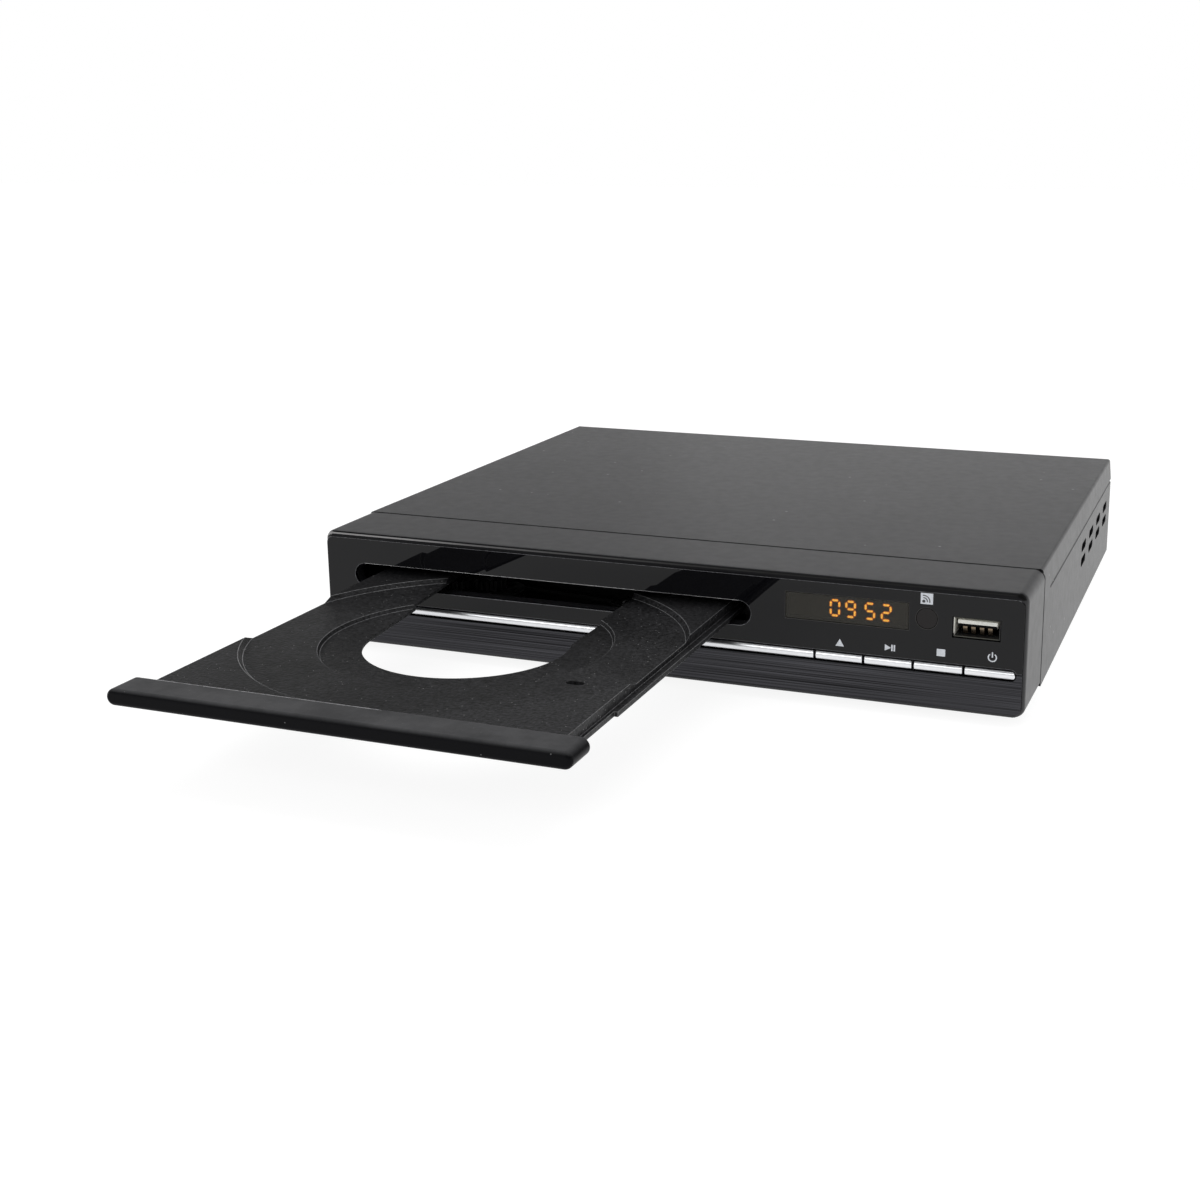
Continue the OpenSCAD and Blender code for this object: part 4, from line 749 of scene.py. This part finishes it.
def pointed_bar(bm, x, z, level, reach, half_t, y0, y1):
    """A bar that ends in points, reach to each side of its middle, lying level or upright."""
    outline = [(-reach, 0), (-reach + half_t, -half_t), (reach - half_t, -half_t), (reach, 0),
               (reach - half_t, half_t), (half_t - reach, half_t)]
    if not level:
        outline = [(-q, p) for p, q in outline]
    prism(bm, [(x + p, z + q) for p, q in outline], y0, y1)


def make_figures():
    """Four figures of pointed bars: the lit ones glow, most at their cores, the others show faintly."""
    low, high = box_mm("display_window")
    mid_x, mid_z = (low[0] + high[0]) / 2, (low[2] + high[2]) / 2
    (_, y0, _), (_, y1, _) = box_mm("display_segments")
    gap, core_in, core_thin, core_y0, core_y1 = 0.2, 0.22, 0.16, y0 - 0.03, y0 + 0.01
    lit, dark, core = bmesh.new(), bmesh.new(), bmesh.new()
    for figure, from_mid in zip("0952", (-3.7, 0.9, 6.55, 11.3)):
        for bar, (dx, dz, level) in BAR_PLACES.items():
            x, z = mid_x + from_mid + dx, mid_z + dz
            reach = (BAR_W if level else BAR_H) / 2 - gap
            if bar in BARS[figure]:
                pointed_bar(lit, x, z, level, reach, BAR_T, y0, y1)
                pointed_bar(core, x, z, level, reach - core_in, BAR_T - core_thin, core_y0, core_y1)
            else:
                pointed_bar(dark, x, z, level, reach, BAR_T, y0, y1)
    add_solid("figures_lit", lit, "housing", "amber", "figure_lit", "display_segments")
    add_solid("figures_core", core, "housing", "amber", "figure_core")
    add_solid("figures_dark", dark, "housing", "amber", "figure_dark")


def make_prints():
    """The printed signs over the keys and at the sensor, as thin films of ink on the gloss panel."""
    play_low, play_high, pause_w = 15.95, 17.85, 0.45
    power_x, power_z, power_top, power_half_w = 102.8, 17.2, 18.75, 0.18
    sensor_x, sensor_z = 83.1, 31.6
    open_close = [(57.85, 15.8), (60.35, 15.8), (59.1, 18.0)]
    play = [(72.3, play_low), (74.1, (play_low + play_high) / 2), (72.3, play_high)]
    pause = [rect(x, x + pause_w, play_low, play_high) for x in (74.15, 74.85)]
    stop = rect(87.2, 89.6, 16.0, 18.1)
    power = [ring_part(power_x, power_z, 0.95, 1.3, 125, 415),
             rect(power_x - power_half_w, power_x + power_half_w, power_z, power_top)]
    sensor_plate = rect(82.2, 85.7, 30.8, 34.0)
    dot = arc(sensor_x, sensor_z, 0.45, 0, 359)
    waves = [ring_part(sensor_x, sensor_z, inner, inner + 0.3, -10, 100) for inner in (0.85, 1.55)]
    white, dark = bmesh.new(), bmesh.new()
    white_film, dark_film = (-0.02, 0.03), (-0.03, 0.02)
    for outline in (open_close, play, *pause, stop, *power, sensor_plate):
        prism(white, outline, *white_film)
    for outline in (dot, *waves):
        prism(dark, outline, *dark_film)
    add_solid("signs_white", white, "housing", "panel_gloss", "white_print")
    add_solid("sign_sensor", dark, "housing", "panel_gloss", "dark_print")


def make_contacts():
    """Gold springs under the tongues of the USB and HDMI sockets."""
    gold = bmesh.new()
    spring = [(2.0, 24.98), (2.0, 24.3), (2.8, 22.7), (3.4, 22.7), (6.5, 24.7), (11, 24.8), (11, 24.98)]
    spring_half_w, pin_half_w, pin_step, pins = 0.6, 0.2, 0.95, 9
    pin_y0, pin_y1, pin_z0, pin_z1 = 192.0, 197.8, 10.86, 11.02
    (left, _, _), (right, _, _) = box_mm("usb_shell")
    for from_mid in (-3.5, -1.2, 1.2, 3.5):
        x = (left + right) / 2 + from_mid
        prism_x(gold, spring, x - spring_half_w, x + spring_half_w)
    (left, _, _), (right, _, _) = box_mm("hdmi_insert")
    for k in range(pins):
        x = (left + right) / 2 + (k - pins // 2) * pin_step
        prism(gold, rect(x - pin_half_w, x + pin_half_w, pin_z0, pin_z1), pin_y0, pin_y1)
    add_solid("contacts", gold, "housing", "usb_steel", "contact_gold")


def make_hole_shade():
    """A dark plate under the tray's small slot: painted shade that makes the slot look black."""
    x, y = SMALL_SLOT
    half_w, half_d, low_z, high_z = 3.3, 2.1, 20.9, 21.38
    plate = bmesh.new()
    prism(plate, rect(x - half_w, x + half_w, low_z, high_z), y - half_d, y + half_d)
    add_solid("tray_hole_shade_plate", plate, "tray", "tray_plastic", "painted_shade_black")


SOFT = {  # the width of the rounding on each dressed node, in millimetres
    "top_cover": 0.15, "front_bezel": 0.3, "gloss_panel": 0.25, "lower_panel": 0.12, "silver_strip": 0.15,
    "button_eject": 0.15, "button_play": 0.15, "button_stop": 0.15, "button_power": 0.15,
    "display_window": 0.1, "ir_window": 0.1, "usb_shell": 0.1, "usb_insert": 0.05, "tray": 0.2,
    "tray_lid": 0.35, "chassis": 0.12, "feet": 0.3, "mains_inlet": 0.3, "jack_sleeves": 0.3,
    "jack_collars": 0.25, "hdmi_shell": 0.1, "cover_screws": 0.2, "loader_frame": 0.2,
}
for node, width in SOFT.items():
    soften(node, width)
for node, obj in nodes.items():
    if node not in SOFT and node != "display_segments":
        obj.data.materials.clear()
        obj.data.materials.append(materials[slot_of[node]])
make_figures()
make_prints()
make_contacts()
make_hole_shade()

make_camera()
make_world()
make_floor()
make_lamp("softbox_top", (0.0, 0.15, 1.6), (1.6, 1.2), 7)
make_lamp("softbox_back", (0.1, 1.7, 0.6), (1.6, 0.6), 0.8)
make_lamp("softbox_right", (1.4, 0.5, 0.9), (0.7, 1.0), 2)
make_lamp("softbox_front", (-0.45, -1.2, 0.85), (0.9, 0.5), 4.5)
bpy.context.scene.view_settings.view_transform = "Standard"

bpy.context.view_layer.update()
